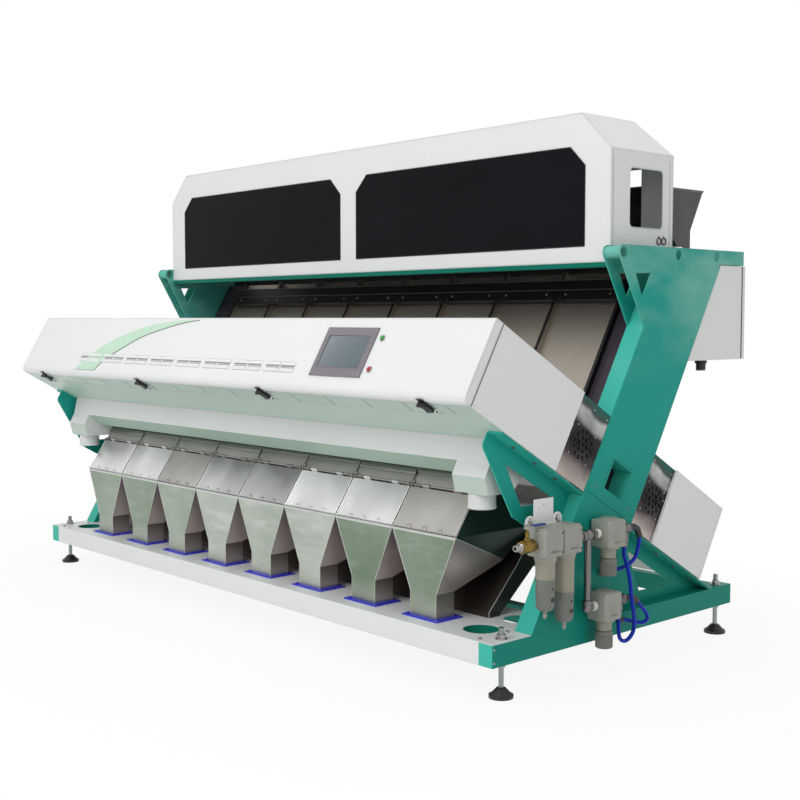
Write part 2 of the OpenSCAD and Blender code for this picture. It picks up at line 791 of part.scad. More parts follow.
module hopper_lid(i) {
    w = pitch / 2 - hopper_gap - 2;
    color("#d0d3d2") translate([channel_x(i), lid_y, lid_z]) rotate([-lid_angle, 0, 0]) difference() {
        union() {
            block(-w, w, lid_face - 0.5 - lid_t, lid_face - 0.5, -lid_length, -lid_barrel_r - 3);
            block(-w, w, -6, lid_face - 1, -lid_length - 2, -lid_length);
            for (s = [-110, 70]) {
                translate([s, 0, 0]) rod_x(0, 40, lid_barrel_r);
                block(s, s + 40, lid_face - 0.5 - lid_t, lid_barrel_r, -lid_barrel_r - 4, 0);
            }
        }
        rod_x(-w - 1, w + 1, lid_rod_r + run_fit);
    }
}
module hopper_lid_1() {
    hopper_lid(0);
}
module hopper_lid_2() {
    hopper_lid(1);
}
module hopper_lid_3() {
    hopper_lid(2);
}
module hopper_lid_4() {
    hopper_lid(3);
}
module hopper_lid_5() {
    hopper_lid(4);
}
module hopper_lid_6() {
    hopper_lid(5);
}
module hopper_lid_7() {
    hopper_lid(6);
}
module hopper_lid_8() {
    hopper_lid(7);
}
module lid_hinge_rods() {
    color("#aeb2b3") translate([0, lid_y, lid_z]) rotate([-lid_angle, 0, 0]) {
        rod_x(-trough_half, trough_half, lid_rod_r);
        for (i = [0 : channels - 1])
            for (s = [-150, 130])
                block(channel_x(i) + s, channel_x(i) + s + 20, -6, lid_face - 0.12, -6, 6);
    }
}
module spout_flanges() {
    color("#2a35c4") for (i = [0 : channels - 1])
        translate([channel_x(i), 0, 0]) difference() {
            block(-spout_w / 2 - flange_border, spout_w / 2 + flange_border, spout_y - flange_border + 6,
                spout_y + spout_d + flange_border - 6, tray_top, tray_top + flange_t);
            block(-spout_w / 2, spout_w / 2, spout_y, spout_y + spout_d, tray_top - 1, tray_top + flange_t + 1);
        }
}
module reject_hopper() {
    p = [[-498, tray_top], [-440, tray_top], [-66, 540], [-66, 570], [-206, 570], [-345, 404], [-498, 244]];
    t = hopper_sheet;
    color("#a8a49c") difference() {
        prism(-trough_half, trough_half, p);
        prism(t - trough_half, trough_half - t, inset(p, [-1, t, t, -1, t, t, t]));
    }
}

module filter_head(y) {
    translate([air_x, y, 0]) {
        block(-head_d / 2, head_d / 2, 0, head_w, 640 - head_h, 640);
    }
}
module regulator(y, z) {
    translate([air_x, y, z]) {
        block(-head_d / 2, head_d / 2, 0, reg_w, 0, 125);
        translate([0, reg_w / 2, 0]) rod_z(-34, 1, knob_r - 5);
        translate([0, reg_w / 2, 0]) rod_z(-80, -33, 10);
    }
}
module air_unit_heads() {
    color("#d5d6d0") {
        filter_head(head_y);
        filter_head(head_y + head_w);
        regulator(reg_up_y, reg_up_z);
        regulator(reg_lo_y, reg_lo_z);
    }
}
module bowl(y, z0, z1) {
    translate([air_x, y, 0]) {
        rod_z(z1, 640 - head_h, bowl_r);
        rod_z(z0, z1, bowl_r - 2);
        rod_z(z0 - 33, z0, 8);
    }
}
module filter_bowls() {
    color("#b7b7ae") {
        bowl(head_y + head_w / 2, 326, 436);
        bowl(head_y + 1.5 * head_w, 267, 374);
    }
}
module regulator_knob(y, z) {
    translate([air_x, y + reg_w / 2, z]) difference() {
        union() {
            rod_z(-106, -36, knob_r);
            for (k = [0 : 11]) rotate(30 * k) translate([knob_r, 0, 0]) rod_z(-100, -60, 3);
        }
        rod_z(-82, -35, 10 + run_fit);
    }
}
module regulator_knob_upper() {
    color("#8d8f8a") regulator_knob(reg_up_y, reg_up_z);
}
module regulator_knob_lower() {
    color("#8d8f8a") regulator_knob(reg_lo_y, reg_lo_z);
}
module air_pipes() {
    end_2 = head_y + 2 * head_w;
    lo_axis = reg_lo_z + 70;
    color("#a9a9a3") {
        translate([air_x, 0, air_z]) {
            rod_y(end_2, tee_y, 20);
            rod_y(tee_y - 1, reg_up_y, pipe_r);
            rod_y(reg_up_y + reg_w, reg_up_y + reg_w + 90, pipe_r + 2);
        }
        translate([air_x, pipe_y, 0]) rod_z(lo_axis, air_z, pipe_r);
        translate([air_x, pipe_y, lo_axis]) sphere(r = 20, $fn = 32);
        translate([air_x, 0, lo_axis]) {
            rod_y(pipe_y, reg_lo_y, pipe_r + 2);
            rod_y(reg_lo_y + reg_w, reg_lo_y + reg_w + 90, pipe_r + 2);
        }
        translate([air_x, reg_up_y + reg_w + 50, 0]) rod_z(505, air_z, 12);
        translate([air_x, reg_lo_y + reg_w + 40, 0]) rod_z(lo_axis - 60, lo_axis, 12);
    }
}
module ball_valve() {
    color("#b08a3c") translate([air_x, 0, air_z]) {
        rod_y(head_y - 14, head_y, 14);
        rod_y(head_y - 78, head_y - 13, 22);
        rod_y(head_y - 112, head_y - 77, 13);
        translate([0, head_y - 46, 0]) {
            rod_z(0, 34, 12);
            rod_z(33, handle_z + 14, 6);
        }
    }
}
module valve_handle() {
    color("#2430b8") translate([air_x, head_y - 46, air_z + handle_z]) difference() {
        union() {
            rod_z(0, 12, 13);
            block(-9, 9, 0, 96, 6, 12);
        }
        rod_z(-1, 13, 6 + run_fit);
    }
}
module valve_bracket() {
    back = air_x - head_d / 2;
    color("#e9ebea") difference() {
        union() {
            block(half, back, head_y + 16, head_y + 2 * head_w - 30, 600, 735);
            for (y = [head_y + 81, head_y + 171]) translate([0, y, 640]) rod_x(arm_x, half + 1, 9);
        }
        for (y = [head_y + 40, head_y + 2 * head_w - 60]) translate([0, y, 712]) rod_x(half - 1, back + 1, 5);
    }
}

function power_front(z) = yz(-column_rear, along_at(-column_rear, z))[0] + 4;
module power_box() {
    z0 = power_top - power_h;
    t = power_sheet;
    za = z0 + t + rest_gap;
    zb = power_top - t - rest_gap;
    inside = power_half - t - rest_gap;
    color("#f2f4f3") {
        both_sides() prism(power_half - t, power_half, [[power_front(z0), z0], [power_rear, z0],
            [power_rear, power_top], [power_front(power_top), power_top]]);
        prism(-inside, inside, [[power_front(za), za], [power_front(za) + t, za], [power_front(zb) + t, zb],
            [power_front(zb), zb]]);
        block(-inside, inside, power_front(power_top), power_rear, power_top - t, power_top);
        difference() {
            block(-inside, inside, power_front(z0), power_rear, z0, z0 + t);
            both_sides() translate([gland_x, gland_y, 0]) rod_z(z0 - 1, z0 + t + 1, gland_r);
        }
        both_sides() translate([gland_x, gland_y, 0]) difference() {
            rod_z(z0 - gland_length, z0 - rest_gap, gland_r + 8);
            rod_z(z0 - gland_length - 1, z0 + 1, gland_r);
        }
        both_sides() prism(inner_x + 4, half - 10, [yz(-column_rear, 1330), yz(8 - column_rear, 1330),
            yz(8 - column_rear, 1620), yz(-column_rear, 1620)]);
        at_door_hinge() {
            hinge_pins(0, door_hinge_z);
            hinge_feet(0, door_hinge_z, rest_gap);
        }
    }
}
module power_box_door() {
    z0 = power_top - power_h;
    t = power_sheet;
    color("#f4f6f5") difference() {
        union() {
            block(-power_half, power_half, power_rear + move_gap, power_rear + door_t, z0, power_top);
            at_door_hinge() hinge_barrels(0, door_hinge_z, rest_gap);
        }
        at_door_hinge() hinge_bores(0, door_hinge_z);
        block(t - power_half, power_half - t, power_rear, power_rear + door_t - t, z0 + t, power_top - t);
        both_sides() block(half - 1050, half - 910, power_rear + door_t - t - 1, power_rear + door_t + 1, z0 + 30, z0 + 60);
    }
}

// Point list of one ring of a hose at p, facing along d
function ring(p, d, r, n) = let (a = unit(cross(d, abs(d[0]) > 0.8 ? [0, 1, 0] : [1, 0, 0])), b = cross(d, a))
    [for (k = [0 : n - 1]) p + r * (cos(360 * k / n) * a + sin(360 * k / n) * b)];
function heading(p, i) = unit(p[min(i + 1, len(p) - 1)] - p[max(i - 1, 0)]);
module hose(p, r) {
    n = 8;
    m = len(p);
    pts = [for (i = [0 : m - 1]) each ring(p[i], heading(p, i), r, n)];
    sides = [for (i = [0 : m - 2]) for (k = [0 : n - 1])
        [i * n + k, i * n + (k + 1) % n, (i + 1) * n + (k + 1) % n, (i + 1) * n + k]];
    caps = [[for (k = [n - 1 : -1 : 0]) k], [for (k = [0 : n - 1]) (m - 1) * n + k]];
    color("#1a2fb0") polyhedron(points = pts, faces = concat(sides, caps), convexity = 6);
}
module hose_upper() {
    y0 = reg_up_y + reg_w + 90;
    hose([[air_x, y0, air_z], [air_x, y0 + 25, air_z], [air_x, y0 + 48, air_z - 14], [air_x, y0 + 58, air_z - 42],
        [air_x, y0 + 52, air_z - 84], [air_x - 2, y0 + 36, air_z - 124], [air_x - 12, y0 + 8, air_z - 152],
        [air_x - 26, y0 - 30, air_z - 166], [half + 14, y0 - 70, air_z - 172], [half + 10, y0 - 110, air_z - 174]], hose_r);
}
module hose_link() {
    y0 = reg_up_y + reg_w + 50;
    y1 = reg_lo_y + reg_w + 40;
    z1 = reg_lo_z + 10;
    hose([[air_x, y0, 505], [air_x, y0, 470], [air_x + 16, y0 + 4, 420], [air_x + 26, y0 + 8, 360], [air_x + 30, y0 + 12, 300],
        [air_x + 26, y0 + 30, 248], [air_x + 18, y0 + 48, 200], [air_x + 14, y0 + 44, 152], [air_x + 8, y0 + 10, 124],
        [air_x + 4, y1 + 6, 136], [air_x, y1, 176], [air_x, y1, z1]], hose_r);
}
module hose_lower() {
    y0 = reg_lo_y + reg_w + 90;
    z0 = reg_lo_z + 70;
    hose([[air_x, y0, z0], [air_x, y0 + 30, z0], [air_x, y0 + 66, z0 - 22], [air_x, y0 + 104, z0 - 56],
        [air_x, y0 + 134, z0 - 88], [air_x - 2, y0 + 140, z0 - 112], [air_x - 8, y0 + 116, z0 - 122],
        [air_x - 20, y0 + 84, z0 - 116], [half + 14, y0 + 56, z0 - 108], [half + 10, y0 + 26, z0 - 104]], hose_r);
}

in_frame() base_frame();
in_frame() front_tray();
in_frame() foot_front_left();
in_frame() foot_front_right();
in_frame() foot_rear_left();
in_frame() foot_rear_right();
in_frame() foot_nuts();
in_frame() side_frame_left();
in_frame() side_frame_right();
in_frame() column_covers();
in_frame() top_cross_beams();
in_frame() hopper_cover();
in_frame() window_panels();
in_frame() feed_hopper();
in_frame() feeder_trays();
in_frame() feeder_drives();
in_frame() chute_plates();
in_frame() chute_frame();
in_frame() front_box();
in_frame() front_cover();
in_frame() touch_screen();
in_frame() start_button();
in_frame() stop_button();
in_frame() cover_latch_1();
in_frame() cover_latch_2();
in_frame() cover_latch_3();
in_frame() cover_latch_4();
in_frame() front_cameras();
in_frame() front_lights();
in_frame() front_glass();
in_frame() rear_box();
in_frame() rear_cover();
in_frame() ejector_manifold();
in_frame() side_plates();
in_frame() dust_duct();
in_frame() discharge_hoppers();
in_frame() hopper_lid_1();
in_frame() hopper_lid_2();
in_frame() hopper_lid_3();
in_frame() hopper_lid_4();
in_frame() hopper_lid_5();
in_frame() hopper_lid_6();
in_frame() hopper_lid_7();
in_frame() hopper_lid_8();
in_frame() lid_hinge_rods();
in_frame() spout_flanges();
in_frame() reject_hopper();
in_frame() air_unit_heads();
in_frame() filter_bowls();
in_frame() regulator_knob_upper();
in_frame() regulator_knob_lower();
in_frame() air_pipes();
in_frame() ball_valve();
in_frame() valve_handle();
in_frame() valve_bracket();
in_frame() power_box();
in_frame() power_box_door();
in_frame() hose_upper();
in_frame() hose_link();
in_frame() hose_lower();
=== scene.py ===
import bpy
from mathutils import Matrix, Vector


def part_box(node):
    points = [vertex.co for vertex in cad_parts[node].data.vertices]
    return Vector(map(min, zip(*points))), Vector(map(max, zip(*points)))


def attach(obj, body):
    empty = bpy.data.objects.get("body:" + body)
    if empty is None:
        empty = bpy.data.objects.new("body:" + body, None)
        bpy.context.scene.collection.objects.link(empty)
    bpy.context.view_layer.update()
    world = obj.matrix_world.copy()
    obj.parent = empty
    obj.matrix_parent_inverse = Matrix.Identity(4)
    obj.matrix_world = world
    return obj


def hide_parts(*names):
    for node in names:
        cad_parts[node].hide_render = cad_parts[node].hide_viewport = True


bl_info = {
    "name": "Colour Sorter Dressing",
    "version": (1, 0, 0),
    "blender": (4, 5, 0),
    "location": "View3D > Sidebar > Sorter",
    "description": "Adds trim, fittings, hoses and finishes to the packed optical colour sorter",
    "category": "Object",
}

import math

import bmesh
import bpy
from bpy.props import FloatProperty, FloatVectorProperty, IntProperty, PointerProperty
from bpy.types import Operator, Panel, PropertyGroup
from mathutils import Matrix, Vector
from mathutils.geometry import interpolate_bezier

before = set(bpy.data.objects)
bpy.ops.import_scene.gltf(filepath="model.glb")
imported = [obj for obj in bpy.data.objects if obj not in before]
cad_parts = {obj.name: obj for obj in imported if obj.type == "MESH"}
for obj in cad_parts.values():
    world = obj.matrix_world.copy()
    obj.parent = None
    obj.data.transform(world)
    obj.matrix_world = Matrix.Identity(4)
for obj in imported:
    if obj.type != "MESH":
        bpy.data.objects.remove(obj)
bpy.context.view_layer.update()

BASE_LOW, BASE_HIGH = (Vector(corner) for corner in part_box("base_frame"))
CENTRE = Vector(((BASE_LOW.x + BASE_HIGH.x) / 2, (BASE_LOW.y + BASE_HIGH.y) / 2, 0.0))
# Pieces are drawn in millimetres, upright or in the frame that leans back with the chutes
UPRIGHT = Matrix.Translation(CENTRE) @ Matrix.Scale(0.001, 4)
SLOPE = UPRIGHT @ Matrix.Rotation(math.radians(-30), 4, "X")
# Frame of the hopper lids, with its origin on their hinge rods
LIDS = UPRIGHT @ Matrix.Translation((0, -584.6, 731.5)) @ Matrix.Rotation(math.radians(-34.3), 4, "X")

SIDES = (-1, 1)
RIGHT, BACK, UP = (1, 0, 0), (0, 1, 0), (0, 0, 1)
FORWARD, DOWN = (0, -1, 0), (0, 0, -1)

# Half lengths: base, top cover, camera boxes, row of chutes
HALF = 1750.0
INNER = 1664.0
BOX_END = 1760.0
ROW_HALF = 1466.0
PITCH = 367.0
CHANNELS = [(i - 3.5) * PITCH for i in range(8)]
COVER_FACE = -1378.0
# Side columns: outer face of their cover sheets, middle of the column and of its window in the slope frame
COLUMN_FACE = HALF + 2
COLUMN_W = -425.0
WINDOW_U = 635.0
FAN_SPOTS = (-700.0, -170.0)
FAN_U = 660.0
# Duct stubs, and the tray holes below them
STUB_X = 1558.0
STUB_Y = -637.0
# Discharge hoppers: front sheet, half widths of body and spout, heights where the sheet folds
HOPPER_FRONT = -688.0
HOPPER_HALF = 182.5
NECK_HALF = 74.0
SHOULDER_Z = 566.0
NECK_Z = 325.0
# Air unit: middle line, filter heads and the two regulators as (y, z)
AIR_X = HALF + 58
AIR_Z = 578.0
HEAD_Y = -611.0
HEAD_W = 110.0
REG_W = 105.0
REG_UP = (-235.0, 510.0)
REG_LOW = (-255.0, 225.0)
LOW_PIPE_Z = REG_LOW[1] + 70
DROP_Y = -309.0
# Camera that matches the photograph's view, in metres, degrees and millimetres of lens
CAMERA_SPOT = (4.7515, -3.9479, 1.4134)
CAMERA_TILT = 86.1335
CAMERA_TURN = 47.8712
FOCAL_LENGTH = 54.488


def linear(code):
    """Linear colour of a six-digit display colour."""
    parts = [int(code[i:i + 2], 16) / 255 for i in (0, 2, 4)]
    return tuple(p / 12.92 if p <= 0.04045 else ((p + 0.055) / 1.055) ** 2.4 for p in parts)


def colour_property(label, note, code):
    """Colour setting whose default is a six-digit display colour."""
    return FloatVectorProperty(name=label, description=note, subtype="COLOR", size=3, min=0, max=1,
                               default=linear(code))


class SorterColours(PropertyGroup):
    """Colours of the sorter's finishes."""
    frame_green: colour_property("Frame green", "Powder coat of the frame", "1fa294")
    body_white: colour_property("Body white", "Powder coat of covers and boxes", "eceeee")
    steel: colour_property("Stainless", "Brushed stainless sheet", "b9b7b3")
    chute: colour_property("Chute steel", "Worn steel of the chutes", "b8b0a4")
    window: colour_property("Window", "Dark sheet of the top windows", "131317")
    flange: colour_property("Flange blue", "Blue of the spout flanges", "2b34c8")
    hose: colour_property("Hose blue", "Blue of the air hoses", "0a2cae")
    casting: colour_property("Air unit grey", "Cast bodies of the air unit", "9a9b92")
    brass: colour_property("Brass", "Ball valve", "86703a")
    stripe: colour_property("Stripe", "Pale stripe on the front cover", "c4e4cb")


class SorterSizes(PropertyGroup):
    """Sizes of the sorter's trim."""
    hose_diameter: FloatProperty(name="Hose diameter", description="Outside diameter of the air hoses",
                                 subtype="DISTANCE", unit="LENGTH", default=0.016, min=0.01, max=0.02)
    bolt_radius: FloatProperty(name="Bolt radius", description="Hexagon head radius in millimetres",
                               default=9.0, min=4.0, max=14.0)
    louvre_count: IntProperty(name="Louvres", description="Louvres side by side in each group",
                              default=2, min=1, max=4)
    knob_ribs: IntProperty(name="Knob ribs", description="Ribs around a regulator knob",
                           default=28, min=12, max=48)
    floor_size: FloatProperty(name="Floor size", description="Edge length of the stage floor",
                              subtype="DISTANCE", unit="LENGTH", default=120.0, min=20.0, max=200.0)


# Shader building

class Value:
    """One output socket; arithmetic on it adds Math nodes."""

    def __init__(self, nodes, socket):
        self.nodes = nodes
        self.socket = socket

    def math(self, operation, a, b):
        return self.nodes.node("ShaderNodeMath", {"operation": operation}, {0: a, 1: b})

    def __add__(self, other):
        return self.math("ADD", self, other)

    __radd__ = __add__

    def __sub__(self, other):
        return self.math("SUBTRACT", self, other)

    def __rsub__(self, other):
        return self.math("SUBTRACT", other, self)

    def __mul__(self, other):
        return self.math("MULTIPLY", self, other)

    __rmul__ = __mul__

    def __gt__(self, other):
        return self.math("GREATER_THAN", self, other)

    def __lt__(self, other):
        return self.math("LESS_THAN", self, other)

    def clamped(self):
        return self.nodes.node("ShaderNodeClamp", {}, {0: self})


class Nodes:
    """A node tree with a short way to add nodes and links."""

    def __init__(self, owner, output):
        owner.use_nodes = True
        self.tree = owner.node_tree
        self.tree.nodes.clear()
        self.output = self.tree.nodes.new(output)

    def node(self, kind, settings=None, inputs=None, out=0):
        made = self.tree.nodes.new(kind)
        for key, value in (settings or {}).items():
            if key == "stops":
                ramp = made.color_ramp
                while len(ramp.elements) < len(value):
                    ramp.elements.new(0.5)
                for element, (place, colour) in zip(ramp.elements, value):
                    element.position = place
                    element.color = (*colour, 1.0)
            else:
                setattr(made, key, value)
        for key, value in (inputs or {}).items():
            self.feed(made.inputs[key], value)
        return Value(self, made.outputs[out])

    def feed(self, socket, value):
        if isinstance(value, Value):
            self.tree.links.new(value.socket, socket)
        elif hasattr(socket.default_value, "__len__") and len(socket.default_value) == 4 and len(value) == 3:
            socket.default_value = (*value, 1.0)
        else:
            socket.default_value = value

    def seen(self):
        """One for rays from the camera and for mirrored or refracted ones, otherwise zero."""
        kinds = ("Is Camera Ray", "Is Glossy Ray", "Is Transmission Ray")
        camera, mirrored, refracted = (self.node("ShaderNodeLightPath", out=kind) for kind in kinds)
        return (camera + mirrored + refracted).clamped()


class Finish(Nodes):
    """A material with one principled shader."""

    def __init__(self, name):
        self.material = bpy.data.materials.new(name)
        super().__init__(self.material, "ShaderNodeOutputMaterial")
        self.shader = self.tree.nodes.new("ShaderNodeBsdfPrincipled")
        self.tree.links.new(self.shader.outputs[0], self.output.inputs[0])

    def set(self, **inputs):
        for key, value in inputs.items():
            self.feed(self.shader.inputs[key.replace("_", " ")], value)

    def place(self, scale=(1, 1, 1), turn=(0, 0, 0)):
        coords = self.node("ShaderNodeTexCoord", out="Object")
        return self.node("ShaderNodeMapping", {}, {"Vector": coords, "Scale": scale, "Rotation": turn})

    def noise(self, scale, detail=2.0, stretch=(1, 1, 1), rough=0.5, turn=(0, 0, 0), seed=None):
        inputs = {"Vector": self.place(stretch, turn), "Scale": scale, "Detail": detail, "Roughness": rough}
        if seed is None:
            return self.node("ShaderNodeTexNoise", {}, inputs, out="Fac")
        inputs["W"] = seed
        return self.node("ShaderNodeTexNoise", {"noise_dimensions": "4D"}, inputs, out="Fac")

    def blend(self, factor, a, b):
        """Colour mix; sockets 6 and 7 and output 2 are the Mix node's colour ones."""
        return self.node("ShaderNodeMix", {"data_type": "RGBA"}, {"Factor": factor, 6: a, 7: b}, out=2)

    def normal(self, axis):
        geometry = self.node("ShaderNodeNewGeometry", out="Normal")
        return self.node("ShaderNodeSeparateXYZ", {}, {0: geometry}, out=axis)

    def position(self, axis):
        coords = self.node("ShaderNodeTexCoord", out="Object")
        return self.node("ShaderNodeSeparateXYZ", {}, {0: coords}, out=axis)

    def each_channel(self, seed):
        """A number that stays the same across one channel and changes to the next."""
        across = (self.position("X") - CENTRE.x) * (1000.0 / PITCH)
        step = self.node("ShaderNodeMath", {"operation": "FLOOR"}, {0: across})
        inputs = {"W": step + seed}
        return self.node("ShaderNodeTexWhiteNoise", {"noise_dimensions": "1D"}, inputs, out="Value")

    def relief(self, height, strength, distance=0.001, edge=0.0):
        inputs = {"Height": height, "Strength": strength, "Distance": distance}
        if edge:
            inputs["Normal"] = self.node("ShaderNodeBevel", {"samples": 4}, {"Radius": edge})
        self.set(Normal=self.node("ShaderNodeBump", {}, inputs))
        return self


FINISHES = {}


def shade(colour, factor):
    """Colour made darker or lighter."""
    return tuple(min(1.0, c * factor) for c in colour)


def powder_coat(name, colour, rough=0.36, peel=0.10, edge=0.0025, dust=0.05, shine=0.35, painted_underside_reflection=None,
                front=None, painted_sheen=None):
    """Sprayed powder coat: orange peel, faint clouding, a little dust on faces that look up; if asked, a
    painted green reflection on faces that look down, painted light on faces that look forward, and painted
    sheen high up with painted shade low down.
    """
    f = Finish(name)
    cloud = f.noise(1.7, 3.0)
    fine = f.noise(38.0, 3.0)
    base = f.blend(cloud, shade(colour, 0.965), shade(colour, 1.03))
    base = f.blend((fine - 0.62).clamped() * 0.4, base, shade(colour, 0.88))
    settled = ((f.normal("Z") - 0.45).clamped() * cloud) * dust
    base = f.blend(settled, base, (0.42, 0.42, 0.40))
    # Faces that look down turn green: painted reflection of the green surroundings.
    if painted_underside_reflection:
        base = f.blend(((0.0 - f.normal("Z")) * 2.2).clamped(), base, painted_underside_reflection)
    # Faces that look forward blend to a lighter colour: painted light on the lit fronts.
    if front:
        base = f.blend((0.0 - f.normal("Y")).clamped(), base, front)
    # Pale patches high up are painted sheen; low parts facing back darken with painted shade.
    if painted_sheen:
        patch = f.noise(3.2, 3.0, (1.0, 0.7, 1.3), 0.55, (0.5, 0, 0))
        high = f.position("Z")
        painted_sheen_mask = ((high - 1.15) * 3.0).clamped() * ((patch - 0.36).clamped() * 2.6).clamped()
        base = f.blend(painted_sheen_mask, base, painted_sheen)
        shaded = ((0.95 - high) * 1.6).clamped() * (f.normal("Y") + 1.0).clamped()
        base = f.blend(shaded * 0.8, base, (0.003, 0.225, 0.170))
    f.set(Base_Color=base, Roughness=fine * 0.10 + (rough - 0.05))
    f.set(Specular_IOR_Level=shine, Coat_Weight=shine * 0.3, Coat_Roughness=0.22)
    return f.relief(f.noise(620.0, 1.0), peel, 0.0006, edge).material


def brushed(name, colour, stretch, rough=0.34, spread=0.16, edge=0.0012, ends=None):
    """Brushed sheet: grain drawn out along one direction, smears and a soft patchy sheen; given ends, faces
    looking outward at the ends get a painted dark reflection.
    """
    f = Finish(name)
    grain = f.noise(5.0, 4.0, stretch, 0.62)
    smear = f.noise(3.4, 4.0, (1.0, 1.0, 0.45))
    base = f.blend(grain, shade(colour, 0.76), shade(colour, 1.16))
    base = f.blend((smear - 0.35).clamped() * 0.9, base, shade(colour, 0.74))
    # Outward end faces turn dark: painted reflection.
    if ends:
        outside = f.normal("X") * f.position("X") * 0.65
        mirrored = f.blend(smear, shade(ends, 0.5), shade(ends, 1.4))
        base = f.blend((outside - 0.6).clamped() * 2.5, base, mirrored)
    f.set(Base_Color=base, Metallic=1.0, Roughness=grain * spread + smear * 0.12 + (rough - 0.13))
    return f.relief(grain, 0.10, 0.0004, edge).material


def lid_steel(name):
    """Lid sheet: every lid was polished by hand; its smears, its painted reflections from dark grey to white
    with a lighter lower part, and its painted highlights change from lid to lid.
    """
    f = Finish(name)
    each = f.each_channel(33634.0)
    grain = f.noise(4.0, 3.0, (3.0, 70.0, 70.0), 0.6, seed=each * 9.0)
    smear = f.noise(2.4, 2.0, (1.5, 0.9, 1.2), 0.45, (0.5, 0.5, 0.0), each * 31.0)
    # Painted light: darker at the top and lighter lower down, and dark grey to white as painted reflections
    # from lid to lid.
    fall = ((0.735 - f.position("Z")) * 6.0).clamped()
    reflection_tone = (each * 0.75 + fall * 0.35 + smear * 1.5 - 0.95).clamped()
    base = f.blend(reflection_tone, (0.24, 0.24, 0.235), (0.97, 0.97, 0.965))
    base = f.blend((f.each_channel(47365.0) - 0.55).clamped() * 1.3, base, (0.42, 0.375, 0.345))
    base = f.blend(grain * 0.22, base, (0.42, 0.42, 0.41))
    # Bright parts lose metal so they read as painted highlights.
    f.set(Base_Color=base, Metallic=1.0 - reflection_tone * 0.6, Roughness=grain * 0.10 + (0.32 - reflection_tone * 0.12))
    return f.relief(grain, 0.04, 0.0004, 0.0012).material


def hopper_steel(name, colour):
    """Hopper sheet: hazy fronts with green-grey painted reflections, brown-grey flanks with painted shade and
    highlights, and a painted dark reflection on the last flank.
    """
    f = Finish(name)
    each = f.each_channel(2325.0)
    grain = f.noise(5.0, 4.0, (30.0, 30.0, 1.1), 0.6, seed=each * 7.0)
    wipe = f.noise(4.0, 4.0, (1.0, 1.0, 5.0), 0.65, (0, 0.15, 0), each * 23.0)
    smear = f.noise(3.1, 4.0, (1.0, 1.0, 0.5), seed=each * 7.0)
    high = f.position("Z")
    # Fronts: green-grey shades, pale and dark wipe patches and a lighter spout foot are painted reflections
    # and highlights.
    reflection_tone = (each + smear * 0.9 - 0.45).clamped()
    face = f.blend(reflection_tone, (0.13, 0.205, 0.125), (0.57, 0.61, 0.555))
    face = f.blend((wipe - 0.50).clamped() * each * 2.6, face, (0.80, 0.81, 0.78))
    face = f.blend((0.47 - wipe).clamped() * each * 2.2, face, (0.24, 0.27, 0.235))
    face = f.blend(((0.33 - high) * 9.0).clamped() * 0.6, face, (0.52, 0.50, 0.46))
    face = f.blend(grain * 0.25, face, (0.28, 0.33, 0.275))
    # Flanks: violet dark top, darker spout top, pale wipe patches and a darker last flank are painted shade
    # and reflection.
    flank = f.blend(((high - 0.45) * 8.0).clamped(), (0.60, 0.525, 0.48), (0.30, 0.255, 0.34))
    low = f.blend(((high - 0.235) * 11.0).clamped(), (0.47, 0.42, 0.38), (0.24, 0.21, 0.195))
    flank = f.blend(high < NECK_Z / 1000, flank, low)
    flank = f.blend((wipe - 0.5).clamped() * 1.2, flank, shade(colour, 0.9))
    upper = f.blend(smear, shade(colour, 0.45), shade(colour, 1.25))
    flank = f.blend(high > SHOULDER_Z / 1000 + 0.009, flank, upper)
    end = f.position("X") > 1.31
    flank = f.blend(end * 0.5, flank, (0.21, 0.18, 0.165))
    across = f.node("ShaderNodeMath", {"operation": "ABSOLUTE"}, {0: f.normal("X")})
    fold = (high + (f.position("Y") + 0.650) * 0.40) > SHOULDER_Z / 1000
    # Dark green painted reflection on the last flank above the fold and on the end plates.
    mirrored = f.blend(smear, (0.010, 0.026, 0.020), (0.045, 0.080, 0.066))
    flank = f.blend(end * fold * (across > 0.5), flank, mirrored)
    flank = f.blend((across > 0.97) * (high > 0.33), flank, mirrored)
    front = (((0.0 - f.normal("Y")) - 0.92) * 20.0).clamped()
    f.set(Base_Color=f.blend(front, flank, face), Metallic=front * 0.45 + 0.55)
    f.set(Roughness=grain * 0.15 + smear * 0.12 + 0.20)
    return f.relief(grain, 0.07, 0.0004, 0.0012).material


def moulded(name, colour, rough=0.42, grain=0.12, metallic=0.0, edge=0.0015, coat=0.0):
    """Moulded or cast surface with a fine skin and slight mottling."""
    f = Finish(name)
    mottle = f.noise(24.0, 3.0)
    skin = f.noise(900.0, 2.0)
    base = f.blend(mottle, shade(colour, 0.90), shade(colour, 1.08))
    f.set(Base_Color=base, Metallic=metallic, Roughness=mottle * 0.12 + (rough - 0.06))
    f.set(Coat_Weight=coat, Coat_Roughness=0.12)
    return f.relief(skin, grain, 0.0004, edge).material


def dark_window(name, colour):
    """Glossy dark sheet with a faint haze and a few wipe marks."""
    f = Finish(name)
    haze = f.noise(2.1, 4.0, (1.0, 1.0, 2.2))
    wipe = f.noise(6.0, 3.0, (0.35, 1.0, 2.4), 0.6, (0, 0.5, 0))
    base = f.blend(haze, colour, shade(colour, 1.7))
    f.set(Base_Color=base, Roughness=wipe * 0.16 + 0.14, Specular_IOR_Level=0.04)
    return f.relief(haze, 0.02, 0.001).material


